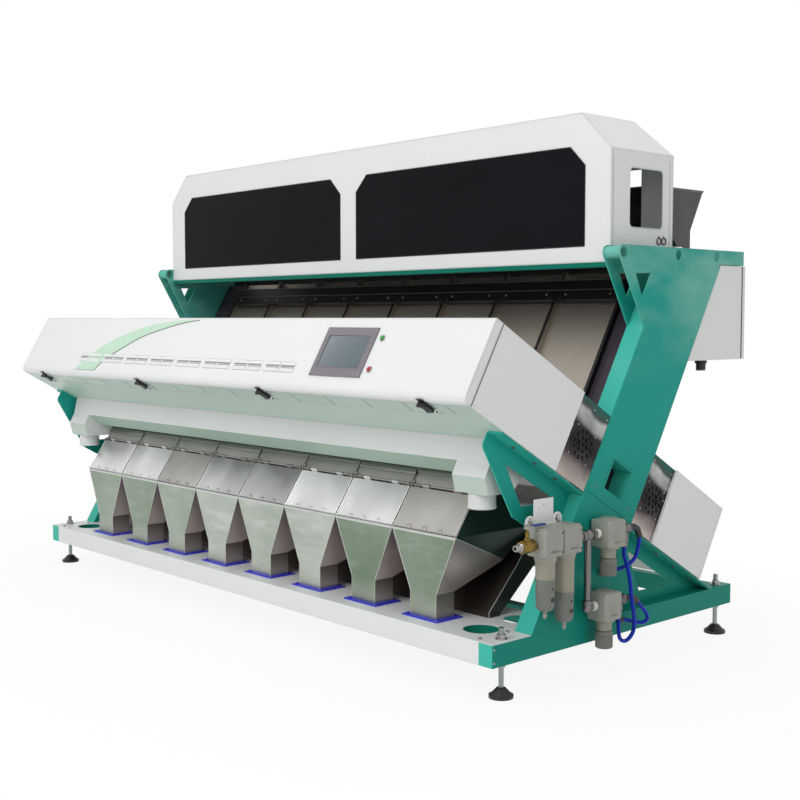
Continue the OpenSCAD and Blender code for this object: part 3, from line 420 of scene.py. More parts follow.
def chute_steel(name, colour):
    """Chute plate polished by grain: long streaks down the slope."""
    f = Finish(name)
    turn = (math.radians(30), 0, 0)
    streak = f.noise(4.0, 5.0, (34.0, 34.0, 0.5), 0.6, turn)
    cloud = f.noise(2.6, 3.0)
    base = f.blend(streak, shade(colour, 0.66), shade(colour, 1.12))
    base = f.blend((cloud - 0.4).clamped(), base, shade((0.34, 0.30, 0.25), 0.8))
    # Darker towards the top: painted shade below the top cover.
    base = f.blend(((f.position("Z") - 0.95) * 2.4).clamped() * 0.15, base, shade(colour, 0.40))
    f.set(Base_Color=base, Metallic=0.85, Roughness=streak * 0.16 + 0.34)
    return f.relief(streak, 0.06, 0.0004).material


def foot_finish(name):
    """Levelling foot: black moulded pad below, zinc-plated rod and nut above."""
    f = Finish(name)
    high = f.position("Z") > 0.0395
    mottle = f.noise(60.0, 3.0)
    pad = f.blend(mottle, (0.006, 0.006, 0.007), (0.014, 0.014, 0.016))
    rod = f.blend(mottle, (0.20, 0.235, 0.23), (0.34, 0.38, 0.375))
    f.set(Base_Color=f.blend(high, pad, rod), Metallic=high * 0.95, Roughness=0.48 - high * 0.16)
    inputs = {"Vector": f.place(), "Scale": 130.0}
    thread = f.node("ShaderNodeTexWave", {"bands_direction": "Z"}, inputs, out="Fac")
    return f.relief(thread * high, 0.35, 0.0008).material


def display_finish(name):
    """Switched-off panel behind glass: slate with a slow gradient, a painted reflection across the glass."""
    f = Finish(name)
    slope = f.place((2.6, 0.6, 1.5), (0, 0.5, 0))
    fall = f.node("ShaderNodeTexGradient", {}, {"Vector": slope}, out="Fac")
    base = f.blend(fall, linear("687982"), linear("56656f"))
    f.set(Base_Color=base, Roughness=0.16, Coat_Weight=0.6, Coat_Roughness=0.04)
    return f.relief(f.noise(3.0), 0.01).material


def polished_plate(name):
    """Polished stainless cheek: painted reflections, a dark mirror with pale bands across the slope and green
    at its top end.
    """
    f = Finish(name)
    warp = f.noise(5.5, 2.0, (1.0, 1.0, 0.8))
    patch = f.noise(9.0, 3.0)
    along = f.position("Y") * 0.5 + f.position("Z") * 0.866 - CENTRE.y * 0.5
    # Bands of painted reflection along the slope, with dark painted patches.
    band = (along - 0.505) * 3.02 + (warp - 0.5) * 0.30
    base = f.node("ShaderNodeValToRGB", {"stops": [
        (0.00, (0.40, 0.35, 0.32)), (0.16, (0.24, 0.205, 0.19)), (0.27, (0.055, 0.048, 0.048)),
        (0.44, (0.022, 0.020, 0.022)), (0.66, (0.030, 0.028, 0.030)), (0.735, (0.33, 0.33, 0.325)),
        (0.85, (0.42, 0.43, 0.42)), (0.90, (0.06, 0.075, 0.07)), (1.00, (0.02, 0.10, 0.085))]}, {0: band})
    base = f.blend((patch - 0.5).clamped() * 1.6, base, (0.02, 0.018, 0.019))
    f.set(Base_Color=base, Metallic=1.0, Roughness=patch * 0.10 + 0.16)
    return f.relief(warp, 0.10, 0.004, 0.001).material


def hose_finish(name, colour):
    """Polyurethane hose: even colour, slight bloom and a soft shine."""
    f = Finish(name)
    bloom = f.noise(55.0, 3.0)
    base = f.blend(bloom, shade(colour, 0.82), shade(colour, 1.25))
    f.set(Base_Color=base, Roughness=bloom * 0.12 + 0.24)
    f.set(Specular_IOR_Level=0.16, Coat_Weight=0.04, Coat_Roughness=0.15)
    return f.relief(bloom, 0.03, 0.0005).material


def make_finishes(colours):
    """Builds every finish once."""
    steel = tuple(colours.steel)
    white = tuple(colours.body_white)
    sets = {
        "green": powder_coat("green_powder_coat", tuple(colours.frame_green), rough=0.42, edge=0.003,
                             dust=0.0, shine=0.12, front=linear("46c2b0"), painted_sheen=(0.24, 0.56, 0.49)),
        "white": powder_coat("white_powder_coat", white, peel=0.05, edge=0.004, dust=0.03,
                             painted_underside_reflection=(0.52, 0.66, 0.57)),
        # Duct: body white darkened as painted shade, with the painted green reflection on faces that look
        # down.
        "duct": powder_coat("shaded_white_duct_coat", shade(white, 0.86), peel=0.05, edge=0.004, dust=0.03,
                            painted_underside_reflection=(0.38, 0.53, 0.43)),
        "cover": powder_coat("white_cover_coat", white, rough=0.34, peel=0.04, edge=0.014, dust=0.02),
        "beam": powder_coat("shaded_beam_coat", linear("0b7462"), rough=0.45, edge=0.003, dust=0.0,
                            shine=0.10),
        "hood": powder_coat("white_hood_coat", white, rough=0.34, peel=0.03, edge=0.012, dust=0.02),
        "black": powder_coat("black_powder_coat", (0.014, 0.014, 0.016), rough=0.42, edge=0.0015, dust=0.03,
                             shine=0.2),
        "violet": powder_coat("dark_side_strip", (0.045, 0.035, 0.05), rough=0.45, edge=0.0015, dust=0.03,
                              shine=0.25),
        "lid": lid_steel("lid_stainless"),
        "hopper": hopper_steel("hopper_stainless", steel),
        "polished": polished_plate("cheek_painted_reflection"),
        "chute": chute_steel("chute_wear_steel", tuple(colours.chute)),
        "window": dark_window("dark_window_sheet", tuple(colours.window)),
        "hose": hose_finish("hose_polyurethane", tuple(colours.hose)),
        "foot": foot_finish("levelling_foot"),
        "display": display_finish("screen_display"),
        # Trough: stainless darkened nearly to black as painted shade; the wire rings share it.
        "trough": brushed("shaded_trough_stainless", (0.105, 0.090, 0.082), (1, 50, 50), rough=0.42, spread=0.15),
        "bin": brushed("feed_bin_stainless", shade(steel, 0.62), (1, 50, 50), spread=0.15,
                       ends=(0.075, 0.068, 0.078)),
        "bright": brushed("bright_fastener", shade(steel, 0.80), (40, 40, 40), rough=0.30, spread=0.10),
        "pipe": brushed("galvanised_pipe", shade(steel, 0.40), (30, 30, 30), rough=0.38),
        "brass": brushed("turned_brass", tuple(colours.brass), (60, 3, 60), spread=0.14),
        "alloy": brushed("machined_alloy", shade(steel, 0.95), (2, 40, 40), rough=0.36, spread=0.14),
        "blue": moulded("flange_plastic", tuple(colours.flange), rough=0.46, grain=0.10),
        # Seam rods: pale as painted highlights on the hopper folds.
        "seam": moulded("seam_painted_highlight", (0.60, 0.62, 0.59), rough=0.40, grain=0.05, metallic=0.3),
        "lever": moulded("lever_grip", linear("14347c"), rough=0.40, grain=0.06),
        "casting": moulded("cast_air_body", tuple(colours.casting), rough=0.46, grain=0.16, edge=0.003),
        "bowl": moulded("bowl_casing", linear("989586"), rough=0.40, grain=0.06),
        "guard": moulded("bowl_guard", linear("72756f"), grain=0.10),
        "knob": moulded("knob_plastic", linear("77776f"), rough=0.48, grain=0.14),
        "rubber": moulded("black_rubber", (0.013, 0.013, 0.014), rough=0.55, grain=0.20),
        "tape": moulded("sealing_tape", (0.82, 0.82, 0.80), rough=0.6, grain=0.3),
        "bezel": moulded("screen_bezel", linear("7d767e"), rough=0.40, grain=0.05, edge=0.002),
        "start": moulded("start_cap", linear("0a9a42"), rough=0.30, grain=0.03, coat=0.4),
        "stop": moulded("stop_cap", linear("b4121e"), rough=0.30, grain=0.03, coat=0.4),
        "stripe": moulded("stripe_film", tuple(colours.stripe), rough=0.34, grain=0.03),
        "stripe_edge": moulded("stripe_film_edge", linear("707a70"), rough=0.34, grain=0.03),
        "slot": moulded("louvre_shadow", (0.36, 0.325, 0.365), rough=0.7, grain=0.05),
        "camera": moulded("camera_casing", (0.03, 0.032, 0.036), grain=0.10, metallic=0.3),
        "light": moulded("light_diffuser", (0.80, 0.84, 0.80), rough=0.5, grain=0.05),
    }
    glass = Finish("clear_pane")
    smudge = glass.noise(9.0, 3.0)
    glass.set(Base_Color=(0.86, 0.93, 0.91), Roughness=smudge * 0.06 + 0.02)
    glass.set(Transmission_Weight=0.9, IOR=1.45)
    sets["glass"] = glass.relief(smudge, 0.01).material
    FINISHES.update(sets)


# Mesh helpers, in millimetres

def round_off(bm, edges, offset, segments=2):
    """Rounds edges."""
    bmesh.ops.bevel(bm, geom=edges, offset=offset, segments=segments, profile=0.5, affect="EDGES",
                    material=-1)


def tag(verts, slot):
    """Gives the faces round verts a material slot."""
    for face in {face for vert in verts for face in vert.link_faces}:
        face.material_index = slot


def cuboid(bm, low, high, bevel=0.0, slot=0, segments=2):
    """Box between two corners with rounded edges."""
    verts = bmesh.ops.create_cube(bm, size=1.0)["verts"]
    bmesh.ops.scale(bm, vec=[h - l for l, h in zip(low, high)], verts=verts)
    bmesh.ops.translate(bm, vec=[(l + h) / 2 for l, h in zip(low, high)], verts=verts)
    tag(verts, slot)
    if bevel:
        round_off(bm, list({edge for vert in verts for edge in vert.link_edges}), bevel, segments)


def rod(bm, start, end, radius, far=None, sides=24, slot=0, bevel=0.0):
    """Round or polygonal bar from start to end."""
    start, end = Vector(start), Vector(end)
    axis = end - start
    matrix = Matrix.Translation((start + end) / 2) @ axis.to_track_quat("Z", "Y").to_matrix().to_4x4()
    far = radius if far is None else far
    verts = bmesh.ops.create_cone(bm, cap_ends=True, segments=sides, radius1=radius, radius2=far,
                                  depth=axis.length, matrix=matrix)["verts"]
    tag(verts, slot)
    if bevel:
        rims = [edge for edge in {edge for vert in verts for edge in vert.link_edges}
                if any(len(face.verts) == sides for face in edge.link_faces)]
        round_off(bm, rims, bevel)
    return verts


def wire(bm, points, radius, sides=8):
    """Closed ring of straight wires through points."""
    for start, end in zip(points, points[1:] + points[:1]):
        rod(bm, start, end, radius, sides=sides)


def turned(bm, profile, origin, axis, sides=32, slot=0):
    """Turns a list of (radius, height) about an axis through origin."""
    axis = Vector(axis).normalized()
    side = axis.orthogonal().normalized()
    origin = Vector(origin)
    verts = [bm.verts.new(origin + side * r + axis * h) for r, h in profile]
    edges = [bm.edges.new(pair) for pair in zip(verts, verts[1:])]
    known = set(bm.faces)
    bmesh.ops.spin(bm, geom=verts + edges, cent=origin, axis=axis, angle=2 * math.pi, steps=sides,
                   use_merge=True)
    for face in set(bm.faces) - known:
        face.material_index = slot


def panel(bm, points, depth, slot=0):
    """Flat outline pushed along depth."""
    face = bm.faces.new([bm.verts.new(point) for point in points])
    face.material_index = slot
    made = bmesh.ops.extrude_face_region(bm, geom=[face])["geom"]
    moved = [item for item in made if isinstance(item, bmesh.types.BMVert)]
    bmesh.ops.translate(bm, vec=depth, verts=moved)
    tag(moved, slot)


def border(bm, low, high, width, front, back, bevel, slot=0):
    """Four bars inside the rectangle from low to high, each an (x, height), between two depths."""
    (x0, z0), (x1, z1) = low, high
    bars = (((x0, z0), (x1, z0 + width)), ((x0, z1 - width), (x1, z1)),
            ((x0, z0 + width), (x0 + width, z1 - width)), ((x1 - width, z0 + width), (x1, z1 - width)))
    for (a, b), (c, d) in bars:
        cuboid(bm, (a, front, b), (c, back, d), bevel, slot)


def louvre(bm, middle, half, face, low, slit, dark, pale):
    """Dark slit with a small folded hood above it, on a face that looks back."""
    left, top = middle - half - 2, low + slit
    cuboid(bm, (middle - half, face - 0.3, low), (middle + half, face + 0.5, top), 0, dark)
    hood = [(left, face, top), (left, face + 4, top - 1), (left, face, top + 5)]
    panel(bm, hood, (2 * half + 4, 0, 0), pale)


def hex_bolt(bm, seat, axis, radius, slot=0):
    """Washer and chamfered hexagon head standing on seat."""
    seat, axis = Vector(seat), Vector(axis).normalized()
    washer, head, top = (seat + axis * radius * share for share in (0.18, 0.75, 0.86))
    rod(bm, seat, washer, radius * 1.25, sides=20, slot=slot)
    rod(bm, washer, head, radius, sides=6, slot=slot)
    rod(bm, head, top, radius * 0.96, radius * 0.78, 6, slot)


def dome_screw(bm, seat, axis, radius, slot=0):
    """Low rounded screw head with a driver pit."""
    shape = ((0.0, 0.25), (0.3, 0.25), (0.36, 0.46), (0.8, 0.3), (1.0, 0.0))
    turned(bm, [(radius * out, radius * up) for out, up in shape], seat, axis, 12, slot)


def place(bm, name, body, finishes, matrix, slot, angle=35.0, replaces=()):
    """Turns a bmesh into a piece that rides on a body."""
    bmesh.ops.remove_doubles(bm, verts=bm.verts, dist=0.002)
    bmesh.ops.recalc_face_normals(bm, faces=bm.faces)
    bmesh.ops.transform(bm, matrix=matrix, verts=bm.verts)
    mesh = bpy.data.meshes.new(name)
    bm.to_mesh(mesh)
    bm.free()
    for finish in finishes:
        mesh.materials.append(FINISHES[finish])
    mesh.shade_smooth()
    mesh.set_sharp_from_angle(angle=math.radians(angle))
    piece = bpy.data.objects.new(name, mesh)
    bpy.context.scene.collection.objects.link(piece)
    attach(piece, body)
    if replaces:
        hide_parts(*replaces)


def paint(node, finish):
    """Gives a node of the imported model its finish."""
    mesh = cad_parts[node].data
    mesh.materials.clear()
    mesh.materials.append(FINISHES[finish])


NODE_FINISH = {
    "green": ["base_frame", "side_frame_left", "side_frame_right", "column_covers"],
    "beam": ["top_cross_beams"],
    "cover": ["front_cover"],
    "duct": ["dust_duct"],
    "white": ["front_tray", "front_box", "rear_box", "rear_cover", "power_box",
              "power_box_door", "valve_bracket"],
    "hood": ["hopper_cover"],
    "lid": ["hopper_lid_%d" % i for i in range(1, 9)],
    "hopper": ["discharge_hoppers"],
    "trough": ["reject_hopper"],
    "bin": ["feed_hopper", "feeder_trays"],
    "polished": ["side_plates"],
    "bright": ["foot_nuts", "lid_hinge_rods"],
    "chute": ["chute_plates"],
    "black": ["chute_frame", "cover_latch_1", "cover_latch_2", "cover_latch_3", "cover_latch_4"],
    "window": ["window_panels"],
    "blue": ["spout_flanges", "valve_handle"],
    "casting": ["air_unit_heads"],
    "bowl": ["filter_bowls"],
    "knob": ["regulator_knob_upper", "regulator_knob_lower", "feeder_drives"],
    "pipe": ["air_pipes"],
    "brass": ["ball_valve"],
    "hose": ["hose_upper", "hose_link", "hose_lower"],
    "foot": ["foot_front_left", "foot_front_right", "foot_rear_left", "foot_rear_right"],
    "bezel": ["touch_screen"],
    "start": ["start_button"],
    "stop": ["stop_button"],
    "camera": ["front_cameras"],
    "light": ["front_lights"],
    "glass": ["front_glass"],
    "alloy": ["ejector_manifold"],
}


class SORTER_OT_stage(Operator):
    """Camera, floor and soft studio light"""
    bl_idname = "sorter.stage"
    bl_label = "Stage"

    def execute(self, context):
        scene = context.scene
        scene.view_settings.view_transform = "Standard"
        lens = bpy.data.cameras.new("studio_camera")
        lens.sensor_width = 36.0
        lens.lens = FOCAL_LENGTH
        lens.clip_end = 300.0
        camera = bpy.data.objects.new("studio_camera", lens)
        camera.location = CENTRE + Vector(CAMERA_SPOT)
        camera.rotation_euler = (math.radians(CAMERA_TILT), 0.0, math.radians(CAMERA_TURN))
        scene.collection.objects.link(camera)
        scene.camera = camera
        self.floor(context)
        self.sky(scene)
        self.lamps(scene)
        return {"FINISHED"}

    def floor(self, context):
        bm = bmesh.new()
        bmesh.ops.create_grid(bm, x_segments=2, y_segments=2, size=context.scene.sorter_sizes.floor_size / 2)
        mesh = bpy.data.meshes.new("studio_floor")
        bm.to_mesh(mesh)
        bm.free()
        mesh.materials.append(self.floor_finish())
        floor = bpy.data.objects.new("studio_floor", mesh)
        context.scene.collection.objects.link(floor)

    def floor_finish(self):
        """White where it is seen, with faint shadows near the part; a plain matt floor to other rays."""
        f = Finish("studio_floor")
        inputs = {0: f.place((1.0, 1.6, 1.0))}
        away = f.node("ShaderNodeVectorMath", {"operation": "LENGTH"}, inputs, out="Value")
        white = f.seen() * (0.90 + ((away - 2.2) * 0.6).clamped() * 0.10)
        f.set(Base_Color=f.blend(f.noise(0.6), (0.90, 0.90, 0.90), (0.92, 0.92, 0.92)), Roughness=0.9)
        f.set(Specular_IOR_Level=0.0)
        glow = f.node("ShaderNodeEmission", {}, {"Color": (1, 1, 1), "Strength": 1.0})
        mixed = f.node("ShaderNodeMixShader", {}, {0: white, 1: Value(f, f.shader.outputs[0]), 2: glow})
        f.feed(f.output.inputs[0], mixed)
        return f.material

    def sky(self, scene):
        """Plain white where it is seen, soft and dimmer where it lights the part."""
        scene.world = bpy.data.worlds.new("studio_sky")
        nodes = Nodes(scene.world, "ShaderNodeOutputWorld")
        soft = nodes.node("ShaderNodeBackground", {}, {"Color": (1.0, 0.993, 0.985), "Strength": 0.45})
        white = nodes.node("ShaderNodeBackground", {}, {"Color": (1.0, 1.0, 1.0), "Strength": 1.0})
        mixed = nodes.node("ShaderNodeMixShader", {}, {0: nodes.seen(), 1: soft, 2: white})
        nodes.feed(nodes.output.inputs[0], mixed)

    def lamps(self, scene):
        # Name, place, aim point, size in metres, watts
        wanted = (
            ("key_lamp", (1.2, -7.5, 6.5), (0.0, -0.4, 0.9), 6.0, 340.0),
            ("side_lamp", (8.5, -2.5, 4.2), (0.6, 0.0, 0.9), 5.0, 70.0),
            ("top_lamp", (-0.5, 0.5, 7.5), (0.0, 0.0, 0.8), 6.0, 105.0),
        )
        for name, spot, aim, size, power in wanted:
            lamp = bpy.data.lights.new(name, "AREA")
            lamp.shape = "DISK"
            lamp.size = size
            lamp.energy = power
            holder = bpy.data.objects.new(name, lamp)
            holder.location = spot
            holder.rotation_euler = (Vector(aim) - Vector(spot)).to_track_quat("-Z", "Y").to_euler()
            scene.collection.objects.link(holder)


class SORTER_OT_hoses(Operator):
    """Three blue air hoses along the routes of the model"""
    bl_idname = "sorter.hoses"
    bl_label = "Air hoses"

    def execute(self, context):
        up = REG_UP[0] + REG_W + 90
        link = REG_UP[0] + REG_W + 50
        foot = REG_LOW[0] + REG_W + 40
        low = REG_LOW[0] + REG_W + 90
        x, z, g = AIR_X, AIR_Z, LOW_PIPE_Z
        routes = {
            "hose_upper": [
                (x, up, z), (x, up + 25, z), (x, up + 48, z - 14), (x, up + 58, z - 42), (x, up + 52, z - 84),
                (x - 2, up + 36, z - 124), (x - 12, up + 8, z - 152), (x - 26, up - 30, z - 166),
                (HALF + 14, up - 70, z - 172), (HALF + 10, up - 110, z - 174)],
            "hose_link": [
                (x, link, 505), (x, link, 470), (x + 16, link + 4, 420), (x + 26, link + 8, 360),
                (x + 30, link + 12, 300), (x + 26, link + 30, 248), (x + 18, link + 48, 200),
                (x + 14, link + 44, 152), (x + 8, link + 10, 124), (x + 4, foot + 6, 136), (x, foot, 176),
                (x, foot, REG_LOW[1] + 10)],
            "hose_lower": [
                (x, low, g), (x, low + 30, g), (x, low + 66, g - 22), (x, low + 104, g - 56),
                (x, low + 134, g - 88), (x - 2, low + 140, g - 112), (x - 8, low + 116, g - 122),
                (x - 20, low + 84, g - 116), (HALF + 14, low + 56, g - 108), (HALF + 10, low + 26, g - 104)],
        }
        for name, points in routes.items():
            self.hose(context, name, [UPRIGHT @ Vector(p) for p in points])
        return {"FINISHED"}

    def hose(self, context, name, points):
        width = context.scene.sorter_sizes.hose_diameter
        curve = bpy.data.curves.new(name + "_tube", "CURVE")
        curve.dimensions = "3D"
        curve.bevel_depth = width / 2
        curve.bevel_resolution = 4
        curve.resolution_u = 10
        curve.use_fill_caps = True
        spline = curve.splines.new("BEZIER")
        spline.bezier_points.add(len(points) - 1)
        for i, knot in enumerate(spline.bezier_points):
            pull = (points[min(i + 1, len(points) - 1)] - points[max(i - 1, 0)]) / 6
            knot.handle_left_type = knot.handle_right_type = "FREE"
            knot.co = points[i]
            knot.handle_left = points[i] - pull
            knot.handle_right = points[i] + pull
        for a, b in zip(spline.bezier_points, spline.bezier_points[1:]):
            steps = interpolate_bezier(a.co, a.handle_right, b.handle_left, b.co, 11)
        curve.materials.append(FINISHES["hose"])
        tube = bpy.data.objects.new(name + "_tube", curve)
        context.scene.collection.objects.link(tube)
        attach(tube, "frame")
        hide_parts(name)


class SORTER_OT_finishes(Operator):
    """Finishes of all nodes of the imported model"""
    bl_idname = "sorter.finishes"
    bl_label = "Finishes"

    def execute(self, context):
        make_finishes(context.scene.sorter_colours)
        for finish, nodes in NODE_FINISH.items():
            for node in nodes:
                paint(node, finish)
        return {"FINISHED"}


class SORTER_OT_cover_trim(Operator):
    """Louvres, stripe, screen glass and button collars of the front cover"""
    bl_idname = "sorter.cover_trim"
    bl_label = "Front cover trim"

    def execute(self, context):
        self.louvres(context.scene.sorter_sizes.louvre_count)
        self.stripe()
        self.screen()
        self.collars()
        return {"FINISHED"}

    def louvres(self, count):
        bm = bmesh.new()
        face = COVER_FACE
        wide = 212.0 / count
        for group in range(8):
            left = -1150 + group * 237.5
            for k in range(count):
                x = left + k * wide
                for slit, way in ((604.0, 1.0), (596.0, -1.0)):
                    cuboid(bm, (x + 5, face - 0.3, slit - 2.6), (x + wide - 5, face + 0.5, slit + 2.6), 0, 1)
                    hood = ((0.2, 2.4), (-4.0, 2.8), (-3.0, 9.0), (0.2, 22.0))
                    outline = [(x + 2, face + out, slit + way * up) for out, up in hood]
                    panel(bm, outline, (wide - 4, 0, 0))
        place(bm, "cover_louvres", "cover", ("white", "slot"), SLOPE, "white_paint", 60.0)

    def stripe(self):
        outer = [(-1150, 527), (-1099, 580), (-981, 663), (-827, 730), (-620, 788), (-349, 822), (-170, 826)]
        inner = [(-941, 528), (-889, 590), (-766, 660), (-622, 729), (-433, 781), (-290, 811), (-170, 825)]
        bm = bmesh.new()
        self.band(bm, outer, inner, 0.35, 0)
        self.band(bm, [(x - 3, u + 1.5) for x, u in inner], [(x + 4, u - 2.5) for x, u in inner], 0.45, 1)
        cuboid(bm, (-1152, COVER_FACE - 0.5, 525), (-939, COVER_FACE, 529), 0, 1)
        place(bm, "cover_stripe", "cover", ("stripe", "stripe_edge"), SLOPE, "white_paint")

    def band(self, bm, first, second, stand, slot):
        """Thin film between two curves through points, standing off the cover."""
        rows = []
        for side in (first, second):
            row = []
            for i in range(len(side) - 1):
                before, a, b = side[max(i - 1, 0)], side[i], side[i + 1]
                after = side[min(i + 2, len(side) - 1)]
                h1 = (a[0] + (b[0] - before[0]) / 6, a[1] + (b[1] - before[1]) / 6)
                h2 = (b[0] - (after[0] - a[0]) / 6, b[1] - (after[1] - a[1]) / 6)
                row += interpolate_bezier(a, h1, h2, b, 9)[:8 if i < len(side) - 2 else 9]
            rows.append([bm.verts.new((p[0], COVER_FACE - stand, p[1])) for p in row])
        loops = [[bm.edges.new(pair) for pair in zip(row, row[1:])] for row in rows]
        made = bmesh.ops.bridge_loops(bm, edges=loops[0] + loops[1])
        for face in made["faces"]:
            face.material_index = slot
        bmesh.ops.solidify(bm, geom=made["faces"], thickness=stand - 0.1)

    def screen(self):
        bm = bmesh.new()
        x0, u0, x1, u1 = 868.0, 608.0, 1124.0, 752.0
        face = COVER_FACE - 6.0
        cuboid(bm, (x0 + 1, face + 0.6, u0 + 1), (x1 - 1, face + 1.4, u1 - 1), 0.2)
        border(bm, (x0 - 4, u0 - 4), (x1 + 4, u1 + 4), 4, face - 0.9, face + 0.5, 0.5, 1)
        for x in (852.0, 1144.0):
            for u in (580.0, 778.0):
                dome_screw(bm, (x, face, u), FORWARD, 3.2, 2)
        place(bm, "screen_glass", "cover", ("display", "bezel", "bright"), SLOPE, "screen")

    def collars(self):
        bm = bmesh.new()
        for u in (746.0, 607.0):
            turned(bm, [(9.6, 0.0), (9.6, 3.0), (11.0, 4.0), (13.2, 3.4), (14.4, 0.8), (14.4, 0.0)],
                   (1194, COVER_FACE, u), FORWARD, 28)
        place(bm, "button_collars", "cover", ("bright",), SLOPE, "white_paint")


class SORTER_OT_frame_trim(Operator):
    """Bolts, rivets, end plugs and tray sleeves of the frame, with painted shade behind the column windows
    and in the tray holes
    """
    bl_idname = "sorter.frame_trim"
    bl_label = "Frame trim"

    def execute(self, context):
        self.arm_bolts(context.scene.sorter_sizes.bolt_radius * 0.8)
        self.window_rivets_and_shade_sheet()
        self.frame_bolts()
        self.beam_plugs()
        self.tray_sleeves()
        return {"FINISHED"}

    def arm_bolts(self, radius):
        bm = bmesh.new()
        for side in SIDES:
            for w in (-1019, -882, -744, -127, 14, 155, 292):
                hex_bolt(bm, (side * (HALF - 32), w, 492), DOWN, radius)
            for w in (COLUMN_W - 114, COLUMN_W + 114):
                dome_screw(bm, (side * COLUMN_FACE, w, 560), (side, 0, 0), 5)
        place(bm, "arm_bolts", "frame", ("pipe",), SLOPE, "zinc")

    def window_rivets_and_shade_sheet(self):
        bm = bmesh.new()
        for side in SIDES:
            face, back = side * COLUMN_FACE, side * (INNER - 2)
            for step in range(-50, 51, 20):
                for w, u in ((78, step), (-78, step), (step, 74)):
                    start = Vector((face, COLUMN_W + w, WINDOW_U + u))
                    rod(bm, start, start + Vector((side * 1.2, 0, 0)), 2.6, 1.6, 8)
            # Black sheet behind each column window: painted shade inside the column.
            cuboid(bm, (back - 1.5, COLUMN_W - 72, WINDOW_U - 72),
                   (back + 1.5, COLUMN_W + 72, WINDOW_U + 72), 0.5)
        place(bm, "window_rivets_and_shade_sheet", "frame", ("rubber",), SLOPE, "green_paint")

    def frame_bolts(self):
        bm = bmesh.new()
        for side in SIDES:
            for z in (150, 200):
                dome_screw(bm, (side * HALF, -768, z), (side, 0, 0), 5)
            for y in (-750, -600):
                hex_bolt(bm, (side * 1660, y, 221), UP, 7)
        place(bm, "frame_bolts", "frame", ("bright",), UPRIGHT, "zinc")

    def beam_plugs(self):
        bm = bmesh.new()
        for side in SIDES:
            cuboid(bm, (side * 1707 - 36, 836, 1652), (side * 1707 + 36, 839, 1703), 1.2)
            cuboid(bm, (side * 1715 - 28, 778, 140), (side * 1715 + 28, 781, 212), 1.2)
        place(bm, "beam_plugs", "frame", ("rubber",), UPRIGHT, "green_paint")

    def tray_sleeves(self):
        bm = bmesh.new()
        # Sleeves in the darker beam green: painted shade on the walls of the tray holes.
        wall = [(72.2, 0), (75, 0), (75, 60), (72.2, 60), (72.2, 0)]
        for side in SIDES:
            turned(bm, wall, (side * STUB_X, STUB_Y, 157.5), UP, 48)
        place(bm, "tray_sleeves", "frame", ("beam",), UPRIGHT, "green_paint")


class SORTER_OT_hood_trim(Operator):
    """Window gaskets, end window trims, wire rings, rear skirt and bin rim"""
    bl_idname = "sorter.hood_trim"
    bl_label = "Top cover trim"

    def execute(self, context):
        self.gaskets()
        self.end_windows()
        self.rings()
        self.rear_skirt()
        self.bin_rim()
        return {"FINISHED"}

    def gaskets(self):
        bm = bmesh.new()
        x0, x1, z0, z1, cut = 62.0, 1528.0, 1710.0, 2122.0, 80.0
        outline = ((x0, z0), (x1, z0), (x1, z1 - cut), (x1 - cut, z1), (x0 + cut, z1), (x0, z1 - cut))
        for side in SIDES:
            wire(bm, [(side * x, -2.5, z) for x, z in outline], 2.6)
        place(bm, "window_gaskets", "frame", ("rubber",), UPRIGHT, "dark_panel")

    def end_windows(self):
        bm = bmesh.new()
        outline = self.rounded(116, 346, 1787, 2033, 24)
        for side in SIDES:
            wire(bm, [(side * (INNER - 1.4), y, z) for y, z in outline], 2.8)
            for y in (8, 392):
                cuboid(bm, (side * INNER - 0.6, y, 1650), (side * INNER + 0.6, y + 2, 2075), 0, 1)
        place(bm, "end_window_trim", "frame", ("white", "slot"), UPRIGHT, "white_paint")

    def rounded(self, y0, y1, z0, z1, r):
        """Points along a rectangle with round corners."""
        path = []
        corners = ((y1 - r, z0 + r, -90), (y1 - r, z1 - r, 0), (y0 + r, z1 - r, 90), (y0 + r, z0 + r, 180))
        for y, z, start in corners:
            turns = [math.radians(start + step) for step in range(0, 91, 18)]
            path += [(y + r * math.cos(turn), z + r * math.sin(turn)) for turn in turns]
        return path

    def rings(self):
        bm = bmesh.new()
        for y in (318.0, 352.0):
            for side in SIDES:
                self.wire_ring(bm, Vector((side * (INNER + 3), y, 1738.0)), 14.0, 2.6)
                dome_screw(bm, (side * INNER, y, 1757.0), (side, 0, 0), 4)
        place(bm, "wire_rings", "frame", ("trough",), UPRIGHT, "zinc")

    def wire_ring(self, bm, centre, radius, thick):
        start = Matrix.Translation(centre + Vector((0, radius, 0)))
        section = bmesh.ops.create_circle(bm, segments=8, radius=thick, matrix=start)["verts"]
        edges = list({edge for vert in section for edge in vert.link_edges})
        bmesh.ops.spin(bm, geom=section + edges, cent=centre, axis=RIGHT, angle=2 * math.pi, steps=20,
                       use_merge=True)

    def rear_skirt(self):
        bm = bmesh.new()
        cuboid(bm, (-1640, 424, 1598), (1640, 427, 1641.6), 1.0)
        place(bm, "hood_rear_skirt", "frame", ("black",), UPRIGHT, "black_paint")

    def bin_rim(self):
        bm = bmesh.new()
        wire(bm, [(-1560, 425, 1985), (1560, 425, 1985), (1560, 792, 1985), (-1560, 792, 1985)], 5.0, 10)
        for x in range(-1400, 1401, 400):
            cuboid(bm, (x - 2, 700, 1800), (x + 2, 722, 1805), 0.6)
        place(bm, "bin_rim", "frame", ("bin",), UPRIGHT, "stainless")


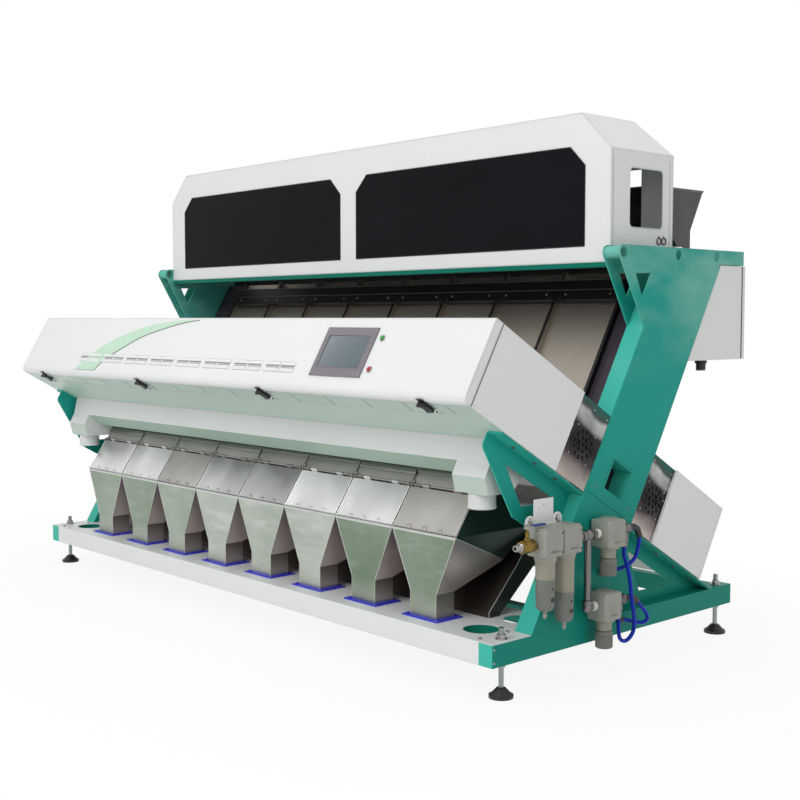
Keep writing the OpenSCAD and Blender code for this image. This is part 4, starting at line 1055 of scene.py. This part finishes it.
class SORTER_OT_chute_trim(Operator):
    """Crossbar screws, divider caps, painted highlight strips on the crossbar and dark side strips of the
    chutes
    """
    bl_idname = "sorter.chute_trim"
    bl_label = "Chute trim"

    def execute(self, context):
        self.crossbar_screws()
        self.divider_caps()
        self.side_strips()
        return {"FINISHED"}

    def crossbar_screws(self):
        bm = bmesh.new()
        bar = -486.0
        for x in CHANNELS:
            for side in SIDES:
                dome_screw(bm, (x + side * 127, bar, 1476), FORWARD, 6.5)
                dome_screw(bm, (x + side * 150, bar, 1455), FORWARD, 5, 1)
        place(bm, "crossbar_screws", "frame", ("bright", "knob"), SLOPE, "zinc")

    def divider_caps(self):
        bm = bmesh.new()
        for i in range(9):
            x = (i - 4) * PITCH
            cuboid(bm, (x - 8, -484, 862), (x + 8, -480, 1438), 1.5)
        # Two grey strips across the crossbar: painted highlights on its flange edges.
        for u in (1497, 1549):
            cuboid(bm, (-ROW_HALF, -488.5, u), (ROW_HALF, -486, u + 3.5), 1.0, 1)
        place(bm, "divider_caps", "frame", ("black", "guard"), SLOPE, "black_paint")

    def side_strips(self):
        bm = bmesh.new()
        for side in SIDES:
            cuboid(bm, (side * 1564 - 88, -461, 862), (side * 1564 + 88, -458, 1598), 1.0)
        place(bm, "side_strips", "frame", ("violet",), SLOPE, "black_paint")


class SORTER_OT_hopper_trim(Operator):
    """Seams with painted highlights, lid hooks, hinge clips, top folds and flange screws of the discharge
    hoppers
    """
    bl_idname = "sorter.hopper_trim"
    bl_label = "Hopper trim"

    def execute(self, context):
        self.seams()
        for number, x in enumerate(CHANNELS, 1):
            self.lid(number, x)
        self.hinge_clips()
        self.top_folds()
        self.flange_screws()
        return {"FINISHED"}

    def seams(self):
        # Pale rods on the folds and a pale band at the shoulder: real seams, pale as painted highlights.
        bm = bmesh.new()
        front = HOPPER_FRONT
        for x in CHANNELS:
            for side in SIDES:
                corner = (x + side * HOPPER_HALF, front, SHOULDER_Z)
                neck = (x + side * NECK_HALF, front, NECK_Z)
                rod(bm, corner, neck, 1.9, sides=6)
                rod(bm, neck, (x + side * NECK_HALF, front, 228), 1.5, sides=6)
                rod(bm, corner, (x + side * HOPPER_HALF, -578, 727), 1.2, sides=6)
            cuboid(bm, (x - 181, front - 2.5, SHOULDER_Z - 9), (x + 181, front, SHOULDER_Z + 2), 0.8)
        for side in SIDES:
            # Fold on the end hopper's flank, then the edge of the trough's end
            rod(bm, (side * 1467, front, SHOULDER_Z), (side * 1418, -417, 457), 2.0, sides=6)
            edge = [(side * ROW_HALF, y, z) for y, z in ((-498, 222), (-498, 244), (-345, 404), (-206, 570))]
            for start, end in zip(edge, edge[1:]):
                rod(bm, start, end, 1.6, sides=6)
        place(bm, "hopper_fold_highlights", "frame", ("seam",), UPRIGHT, "stainless")

    def lid(self, number, x):
        bm = bmesh.new()
        for hook in (x - 90, x, x + 90):
            cuboid(bm, (hook - 9, 0.5, -188), (hook + 9, 4.6, -172), 1.2)
            rod(bm, (hook - 7, -1.0, -178), (hook + 7, -1.0, -178), 2.6, sides=10)
        for side in SIDES:
            rod(bm, (x + side * 178, 4.4, -189), (x + side * 178, 4.4, -12), 1.6, sides=6)
        rod(bm, (x - 178, 4.4, -11), (x + 178, 4.4, -11), 1.6, sides=6)
        place(bm, "lid_hooks_%d" % number, "lid_%d" % number, ("lid",), LIDS, "stainless")

    def hinge_clips(self):
        bm = bmesh.new()
        for i in range(7):
            x = (i - 3) * PITCH
            for middle in (x - 9, x + 9):
                rod(bm, (middle - 4, 0, 0), (middle + 4, 0, 0), 9.5, sides=6)
            cuboid(bm, (x - 16, -2, 9), (x + 16, 8, 18), 1.5)
            cuboid(bm, (x - 1.6, 1.5, -186), (x + 1.6, 3.5, 72), 0, 1)
        for x in CHANNELS:
            cuboid(bm, (x - 128, 5.0, -9.5), (x + 128, 7.6, -1.0), 0, 1)
        place(bm, "hinge_clips", "frame", ("bright", "rubber"), LIDS, "stainless")

    def top_folds(self):
        bm = bmesh.new()
        for i, x in enumerate(CHANNELS):
            tall = 26 if i % 3 == 0 else 14
            cuboid(bm, (x - 180, 0.5, 73 - tall), (x + 180, 4.0, 76), 1.0)
            cuboid(bm, (x - 182, 1.0, 76), (x + 182, 3.6, 79), 0, 1)
        place(bm, "hopper_top_folds", "frame", ("alloy", "rubber"), LIDS, "stainless")

    def flange_screws(self):
        bm = bmesh.new()
        for x in CHANNELS:
            for side in SIDES:
                for y in (-702, -574):
                    dome_screw(bm, (x + side * 92, y, 227), UP, 4)
        place(bm, "flange_screws", "frame", ("bright",), UPRIGHT, "zinc")


class SORTER_OT_air_unit(Operator):
    """Filters, regulators, pipes, valve and bracket of the air unit"""
    bl_idname = "sorter.air_unit"
    bl_label = "Air unit"

    def execute(self, context):
        self.heads()
        self.bowls()
        self.pipes()
        self.valve()
        self.lever()
        self.bracket()
        ribs = context.scene.sorter_sizes.knob_ribs
        self.knob("knob_up", "regulator_knob_upper", REG_UP, ribs)
        self.knob("knob_low", "regulator_knob_lower", REG_LOW, ribs)
        return {"FINISHED"}

    def heads(self):
        bm = bmesh.new()
        x0, x1 = AIR_X - 47.5, AIR_X + 47.5
        for k in range(2):
            y = HEAD_Y + k * HEAD_W
            cuboid(bm, (x0, y + 2, 530), (x1, y + HEAD_W - 2, 632), 9, 0, 3)
            cuboid(bm, (x0 + 6, y + 8, 626), (x1 - 6, y + HEAD_W - 8, 640), 5, 0, 3)
            rod(bm, (AIR_X, y + HEAD_W / 2, 534), (AIR_X, y + HEAD_W / 2, 514), 45, 41, 36, 0, 1.5)
            cuboid(bm, (x1 - 0.5, y + 32, 548), (x1 + 0.6, y + 78, 556), 0.4, 1)
            for z in (546, 618):
                rod(bm, (x1 - 1, y + HEAD_W - 12, z), (x1 + 0.4, y + HEAD_W - 12, z), 4.2, sides=12, slot=2)
        cuboid(bm, (x0 + 3, HEAD_Y + HEAD_W - 3, 536), (x1 - 3, HEAD_Y + HEAD_W + 3, 628), 1.5, 1)
        rod(bm, (AIR_X, HEAD_Y + 3, AIR_Z), (AIR_X, HEAD_Y - 3, AIR_Z), 27, sides=32, bevel=1)
        for y, z in (REG_UP, REG_LOW):
            cuboid(bm, (x0, y, z + 8), (x1, y + REG_W, z + 119), 9, 0, 3)
            mid = y + REG_W / 2
            at = (AIR_X, mid, z)
            turned(bm, [(0, 124), (30, 124), (36, 122), (38, 118), (38, 112), (0, 112)], at, UP, 40)
            turned(bm, [(42, 12), (42, 2), (31, -1), (30, -34), (12, -34), (10, -36), (10, -80), (0, -80)],
                   at, UP, 36, 3)
            rod(bm, (x1 - 0.5, mid, z + 60), (x1 + 0.8, mid, z + 60), 17, sides=32, slot=3, bevel=0.4)
            rod(bm, (x1, mid, z + 60), (x1 + 1.3, mid, z + 60), 11, sides=28, bevel=0.3)
            cuboid(bm, (x1 - 0.5, mid - 20, z + 28), (x1 + 0.6, mid + 20, z + 34), 0.3, 1)
        place(bm, "air_bodies", "frame", ("casting", "guard", "rubber", "bowl"), UPRIGHT, "air_cast",
              replaces=("air_unit_heads",))

    def bowls(self):
        bm = bmesh.new()
        for y, low, mid in ((HEAD_Y + HEAD_W / 2, 326, 436), (HEAD_Y + 1.5 * HEAD_W, 267, 374)):
            at = (AIR_X, y, 0)
            turned(bm, [(0, 516), (40, 516), (40, 506), (37.5, 503), (36.5, mid + 4), (33, mid), (0, mid)],
                   at, UP, 40)
            turned(bm, [(0, mid + 8), (38, mid + 8), (38.5, mid + 2), (36, mid - 6), (35, low + 14),
                        (29, low + 3), (24, low), (0, low)], at, UP, 40, 1)
            turned(bm, [(0, low + 2), (10, low + 2), (10, low - 8), (7, low - 10), (7, low - 16),
                        (8.5, low - 18), (8.5, low - 26), (5, low - 28), (5, low - 33), (0, low - 33)],
                   at, UP, 20, 3)
            face = AIR_X + 33
            cuboid(bm, (face - 10, y - 13, low + 22), (face + 4, y + 13, mid - 8), 4, 1)
            rod(bm, (face + 3.5, y, low + 44), (face + 4.6, y, low + 44), 9.5, sides=24, slot=2)
            rod(bm, (face + 3.5, y, mid - 26), (face + 4.6, y, mid - 26), 5, sides=16, slot=2)
        place(bm, "filter_cups", "frame", ("bowl", "guard", "rubber", "casting"), UPRIGHT, "bowl_plastic",
              replaces=("filter_bowls",))

    def pipes(self):
        bm = bmesh.new()
        x, low = AIR_X, LOW_PIPE_Z
        self.run(bm, (x, HEAD_Y + 2 * HEAD_W - 2, AIR_Z), (x, -352, AIR_Z), 21)
        turned(bm, [(0, -24), (23, -24), (23, -16), (19, -12), (19, 12), (23, 16), (23, 24), (0, 24)],
               (x, -328, AIR_Z), BACK, 28)
        self.run(bm, (x, -306, AIR_Z), (x, REG_UP[0], AIR_Z), 13)
        rod(bm, (x, -284, AIR_Z), (x, -268, AIR_Z), 21, sides=6, bevel=1)
        self.tape(bm, 13.5, -262, AIR_Z)
        self.run(bm, (x, DROP_Y, AIR_Z - 10), (x, DROP_Y, low + 14), 14)
        turned(bm, [(14, 0), (21, 0), (21, 16), (14, 18)], (x, DROP_Y, low + 12), UP, 24)
        elbow = Matrix.Translation((x, DROP_Y, low))
        bmesh.ops.create_uvsphere(bm, u_segments=24, v_segments=14, radius=21, matrix=elbow)
        self.run(bm, (x, DROP_Y, low), (x, REG_LOW[0], low), 15)
        self.tape(bm, 14, -280, low)
        self.outlet(bm, REG_UP[0] + REG_W, AIR_Z, 505, 50, ((90, 0), (115, 0), (138, -14), (148, -42)))
        self.outlet(bm, REG_LOW[0] + REG_W, low, low - 60, 40, ((90, 0), (120, 0), (156, -22)))
        self.hose_end(bm, REG_UP[0] + REG_W - 20, AIR_Z - 174)
        self.hose_end(bm, REG_LOW[0] + REG_W + 116, low - 104)
        place(bm, "pipe_run", "frame", ("pipe", "tape", "rubber"), UPRIGHT, "pipe_steel",
              replaces=("air_pipes",))

    def run(self, bm, a, b, radius):
        rod(bm, a, b, radius, sides=28, bevel=1)

    def tape(self, bm, radius, y, z):
        """Three turns of sealing tape."""
        ring = [(radius, -3), (radius + 4, -3), (radius + 4.5, 0), (radius + 4, 3), (radius, 3)]
        for k in range(3):
            turned(bm, ring, (AIR_X, y + k * 8, z), BACK, 24, 1)

    def outlet(self, bm, y, z, drop, back, bend):
        """Outlet of a regulator: nipple, hose elbow along bend, and a pipe down to drop."""
        x, tall = AIR_X, z - drop
        turned(bm, [(0, 0), (22, 0), (22, 10), (17, 13), (17, 60), (20, 63), (20, 72), (0, 72)],
               (x, y - 2, z), BACK, 28)
        turned(bm, [(0, 0), (13, 0), (14, 4), (14, 22), (12, 26), (0, 26)], (x, y + 64, z), BACK, 24, 2)
        for (a, b), (c, d) in zip(bend, bend[1:]):
            rod(bm, (x, y + a - 4, z + b), (x, y + c, z + d), 13, sides=20, slot=2, bevel=1.5)
        at = (x, y + back, drop)
        turned(bm, [(0, 0), (12, 0), (13, 3), (13, 18), (16, 20), (16, tall - 20), (12, tall - 12),
                    (0, tall)], at, UP, 24)
        turned(bm, [(8.3, 0), (12, 0), (12, 9), (8.3, 10)], at, UP, 20, 2)

    def hose_end(self, bm, y, z):
        """Fitting on the frame where a hose ends."""
        turned(bm, [(8.3, 8), (12, 8), (13, 4), (13, -14), (10, -18), (0, -18)],
               (HALF + 10, y, z), BACK, 24, 2)
        cuboid(bm, (HALF, y - 16, z - 9), (HALF + 10, y + 2, z + 9), 2, 2)

    def valve(self):
        bm = bmesh.new()
        x, y, z = AIR_X, HEAD_Y, AIR_Z
        at = (x, y, z)
        turned(bm, [(0, 0), (15, 0), (15, 14), (19, 15), (22, 20), (24, 32), (26, 46), (24, 60), (22, 68),
                    (0, 68)], at, FORWARD, 32)
        rod(bm, (x, y - 60, z), (x, y - 80, z), 25, sides=6, bevel=1)
        rod(bm, (x, y - 14, z), (x, y - 26, z), 25, sides=6, bevel=1)
        turned(bm, [(14, 76), (17, 76), (17, 86), (14, 88), (14, 94), (13, 95), (12.5, 100), (13.2, 101),
                    (12.5, 106), (13, 107), (11.5, 112), (7, 112), (7, 96), (0, 96)], at, FORWARD, 28, 1)
        rod(bm, (x, y - 98, z), (x, y - 97, z), 7.4, sides=20, slot=2)
        turned(bm, [(0, 20), (12, 20), (12, 32), (8, 34), (8, 54), (5, 56), (5, 80), (0, 80)],
               (x, y - 46, z), UP, 24)
        place(bm, "brass_valve", "frame", ("brass", "bright", "rubber"), UPRIGHT, "brass",
              replaces=("ball_valve",))

    def lever(self):
        bm = bmesh.new()
        x, y, z = AIR_X, HEAD_Y - 46, AIR_Z + 66
        turned(bm, [(6.2, 0), (14, 0), (14, 5), (12, 6), (6.2, 6)], (x, y, z), UP, 24, 1)
        cuboid(bm, (x - 9, y + 8, z + 5), (x + 9, y + 30, z + 9), 1.2, 1)
        cuboid(bm, (x - 10, y + 26, z + 4), (x + 10, y + 96, z + 12), 3.4, 0, 3)
        turned(bm, [(6.2, 5), (12, 5), (12, 12), (6.2, 12)], (x, y, z), UP, 6, 1)
        place(bm, "valve_lever_arm", "valve_lever", ("lever", "bright"), UPRIGHT, "blue_plastic",
              replaces=("valve_handle",))

    def bracket(self):
        bm = bmesh.new()
        cuboid(bm, (HALF, -560, 610), (HALF + 3, -448, 735), 1.0)
        cuboid(bm, (HALF, -600, 618), (HALF + 10, -416, 640), 1.5)
        for y in (-584, -428):
            rod(bm, (HALF + 3, y, 650), (HALF + 6, y, 650), 27, sides=36, bevel=0.8)
            cuboid(bm, (HALF, y - 12, 640), (HALF + 3.5, y + 12, 672), 0.6)
            hex_bolt(bm, (HALF + 6, y * 0.985 - 8, 654), RIGHT, 9, 1)
            cuboid(bm, (HALF + 3, y - 6, 622), (HALF + 14, y + 6, 668), 1.5, 1)
        for y in (HEAD_Y + 81, HEAD_Y + 171):
            rod(bm, (HALF - 63, y, 640), (HALF + 1, y, 640), 9, sides=24, slot=1)
        dome_screw(bm, (HALF + 3, -504, 712), RIGHT, 4, 1)
        place(bm, "unit_bracket", "frame", ("white", "bright"), UPRIGHT, "white_paint",
              replaces=("valve_bracket",))

    def knob(self, body, node, spot, ribs):
        """Ribbed knob: every second point of its outline is drawn in."""
        y, z = spot
        bm = bmesh.new()
        centre = Vector((AIR_X, y + REG_W / 2, z))
        verts = rod(bm, centre + Vector((0, 0, -102)), centre + Vector((0, 0, -52)), 34.5, sides=ribs * 2)
        for vert in verts:
            side = Vector((vert.co.x - centre.x, vert.co.y - centre.y))
            turn = round(math.atan2(side.y, side.x) / (math.pi / ribs))
            if turn % 2:
                vert.co.x = centre.x + side.x * 0.93
                vert.co.y = centre.y + side.y * 0.93
        turned(bm, [(10.2, -36), (28, -36), (33, -40), (34.8, -44), (34.8, -52), (0, -52)], centre, UP, 48)
        turned(bm, [(0, -106), (29, -106), (32.5, -104), (33.5, -101.5), (0, -101.5)], centre, UP, 48)
        place(bm, body + "_cap", body, ("knob",), UPRIGHT, "knob_plastic", replaces=(node,))


class SORTER_OT_rear_trim(Operator):
    """Door fittings, glands, box screws and seams, latch keepers, fan guards, louvres and stub beads"""
    bl_idname = "sorter.rear_trim"
    bl_label = "Rear and end trim"

    def execute(self, context):
        self.door()
        self.glands()
        self.ends()
        self.keepers()
        self.seams()
        self.fan_guards()
        self.rear_cover()
        self.stub_beads()
        return {"FINISHED"}

    def door(self):
        bm = bmesh.new()
        face = 858.0
        for side in SIDES:
            x, lock = side * 770, side * 1200
            border(bm, (x - 74, 1257), (x + 74, 1295), 5, face - 1, face + 3, 1)
            rod(bm, (lock, face, 1276), (lock, face + 6, 1276), 13, sides=24, slot=1, bevel=1.2)
            cuboid(bm, (lock - 1.5, face + 5.5, 1268), (lock + 1.5, face + 7, 1284), 0.4)
        for group in (-1320, -440, 440, 1320):
            for row in range(7):
                louvre(bm, group, 90, face, 1420 + row * 16, 5, 0, 2)
        place(bm, "door_fittings", "power_door", ("rubber", "bright", "white"), UPRIGHT, "white_paint")

    def glands(self):
        bm = bmesh.new()
        collar = [(12.2, 0), (19, 0), (21, 6), (21, 30), (26, 33), (26, 44), (12.2, 44)]
        for side in SIDES:
            turned(bm, collar, (side * 1700, 590, 1184), UP, 28)
            end = side * (HALF - 5)
            cuboid(bm, (end - 2, 831, 1233), (end + 2, 836.2, 1642), 0.6)
        place(bm, "power_box_glands", "frame", ("rubber",), UPRIGHT, "black_paint")

    def ends(self):
        bm = bmesh.new()
        for side in SIDES:
            for w in (-1320, -1070, -820, -70, 107, 284):
                for u in (516, 822):
                    dome_screw(bm, (side * BOX_END, w, u), (side, 0, 0), 4.5)
        place(bm, "box_end_screws", "frame", ("white",), SLOPE, "white_paint")

    def keepers(self):
        bm = bmesh.new()
        for x in (-1525, -508, 508, 1525):
            cuboid(bm, (x - 17, -1372, 497.4), (x + 17, -1341, 500.2), 0.8)
        place(bm, "latch_keepers", "cover", ("black",), SLOPE, "black_paint")

    def seams(self):
        bm = bmesh.new()
        for side in SIDES:
            cuboid(bm, (side * BOX_END - 0.8, -1337.5, 503), (side * BOX_END + 0.8, -1332, 836), 0, 1)
        cuboid(bm, (-1745, -1262, 497.6), (1745, -1257, 500.2), 1.0)
        for x in range(-1624, 1625, 232):
            cuboid(bm, (x - 1.5, -1330, 499.2), (x + 1.5, -1262, 500.2), 0, 1)
        place(bm, "box_seams", "frame", ("white", "guard"), SLOPE, "white_paint")

    def fan_guards(self):
        bm = bmesh.new()
        screws = ((-790, 812), (-700, 812), (-610, 812), (-790, 516), (-610, 516), (-790, 700),
                  (-240, 812), (-100, 812), (-240, 516), (-100, 516), (-100, 690))
        for side in SIDES:
            face, out = side * (HALF - 1), (side, 0, 0)
            for w in FAN_SPOTS:
                for r in (69, 52, 35, 18):
                    ring = [(r - 1.0, 0), (r - 1.0, 1.4), (r + 1.0, 1.4), (r + 1.0, 0)]
                    turned(bm, ring, (face, w, FAN_U), out, 44)
                for dw in (-60, 60):
                    for du in (-60, 60):
                        dome_screw(bm, (face, w + dw, FAN_U + du), out, 3.5, 1)
                deep, near = face - side * 26, face - side * 4
                rod(bm, (deep, w, FAN_U), (near, w, FAN_U), 78, sides=44, slot=2, bevel=2)
            for w, u in screws:
                dome_screw(bm, (face, w, u), out, 4.0, 1)
        place(bm, "fan_guards", "frame", ("polished", "bright", "black"), SLOPE, "stainless")

    def rear_cover(self):
        bm = bmesh.new()
        for group in (-1200, -400, 400, 1200):
            for row in range(6):
                louvre(bm, group, 110, 312.0, 640 + row * 18, 6, 1, 0)
        place(bm, "rear_louvres", "frame", ("white", "slot"), SLOPE, "white_paint")

    def stub_beads(self):
        bm = bmesh.new()
        bead = [(51, 0), (54, 0), (56, 2), (56, 5), (54, 7), (51, 7)]
        for side in SIDES:
            turned(bm, bead, (side * STUB_X, STUB_Y, 692), UP, 40)
        place(bm, "stub_beads", "frame", ("white",), UPRIGHT, "white_paint")


STEPS = (
    SORTER_OT_finishes, SORTER_OT_stage, SORTER_OT_hoses, SORTER_OT_cover_trim, SORTER_OT_frame_trim,
    SORTER_OT_hood_trim, SORTER_OT_chute_trim, SORTER_OT_hopper_trim, SORTER_OT_air_unit, SORTER_OT_rear_trim,
)


class SORTER_PT_panel(Panel):
    """Lists the sorter's build steps, colours and sizes"""
    bl_idname = "SORTER_PT_panel"
    bl_label = "Colour sorter"
    bl_space_type = "VIEW_3D"
    bl_region_type = "UI"
    bl_category = "Sorter"

    def draw(self, context):
        for step in STEPS:
            self.layout.operator(step.bl_idname)
        for group in (context.scene.sorter_colours, context.scene.sorter_sizes):
            box = self.layout.box()
            for key in group.__annotations__:
                box.prop(group, key)


CLASSES = (SorterColours, SorterSizes, *STEPS, SORTER_PT_panel)


def register():
    for cls in CLASSES:
        bpy.utils.register_class(cls)
    bpy.types.Scene.sorter_colours = PointerProperty(type=SorterColours)
    bpy.types.Scene.sorter_sizes = PointerProperty(type=SorterSizes)


def unregister():
    del bpy.types.Scene.sorter_sizes
    del bpy.types.Scene.sorter_colours
    for cls in reversed(CLASSES):
        bpy.utils.unregister_class(cls)


def main():
    register()
    for step in STEPS:
        family, name = step.bl_idname.split(".")
        getattr(getattr(bpy.ops, family), name)()


if __name__ == "__main__":
    main()
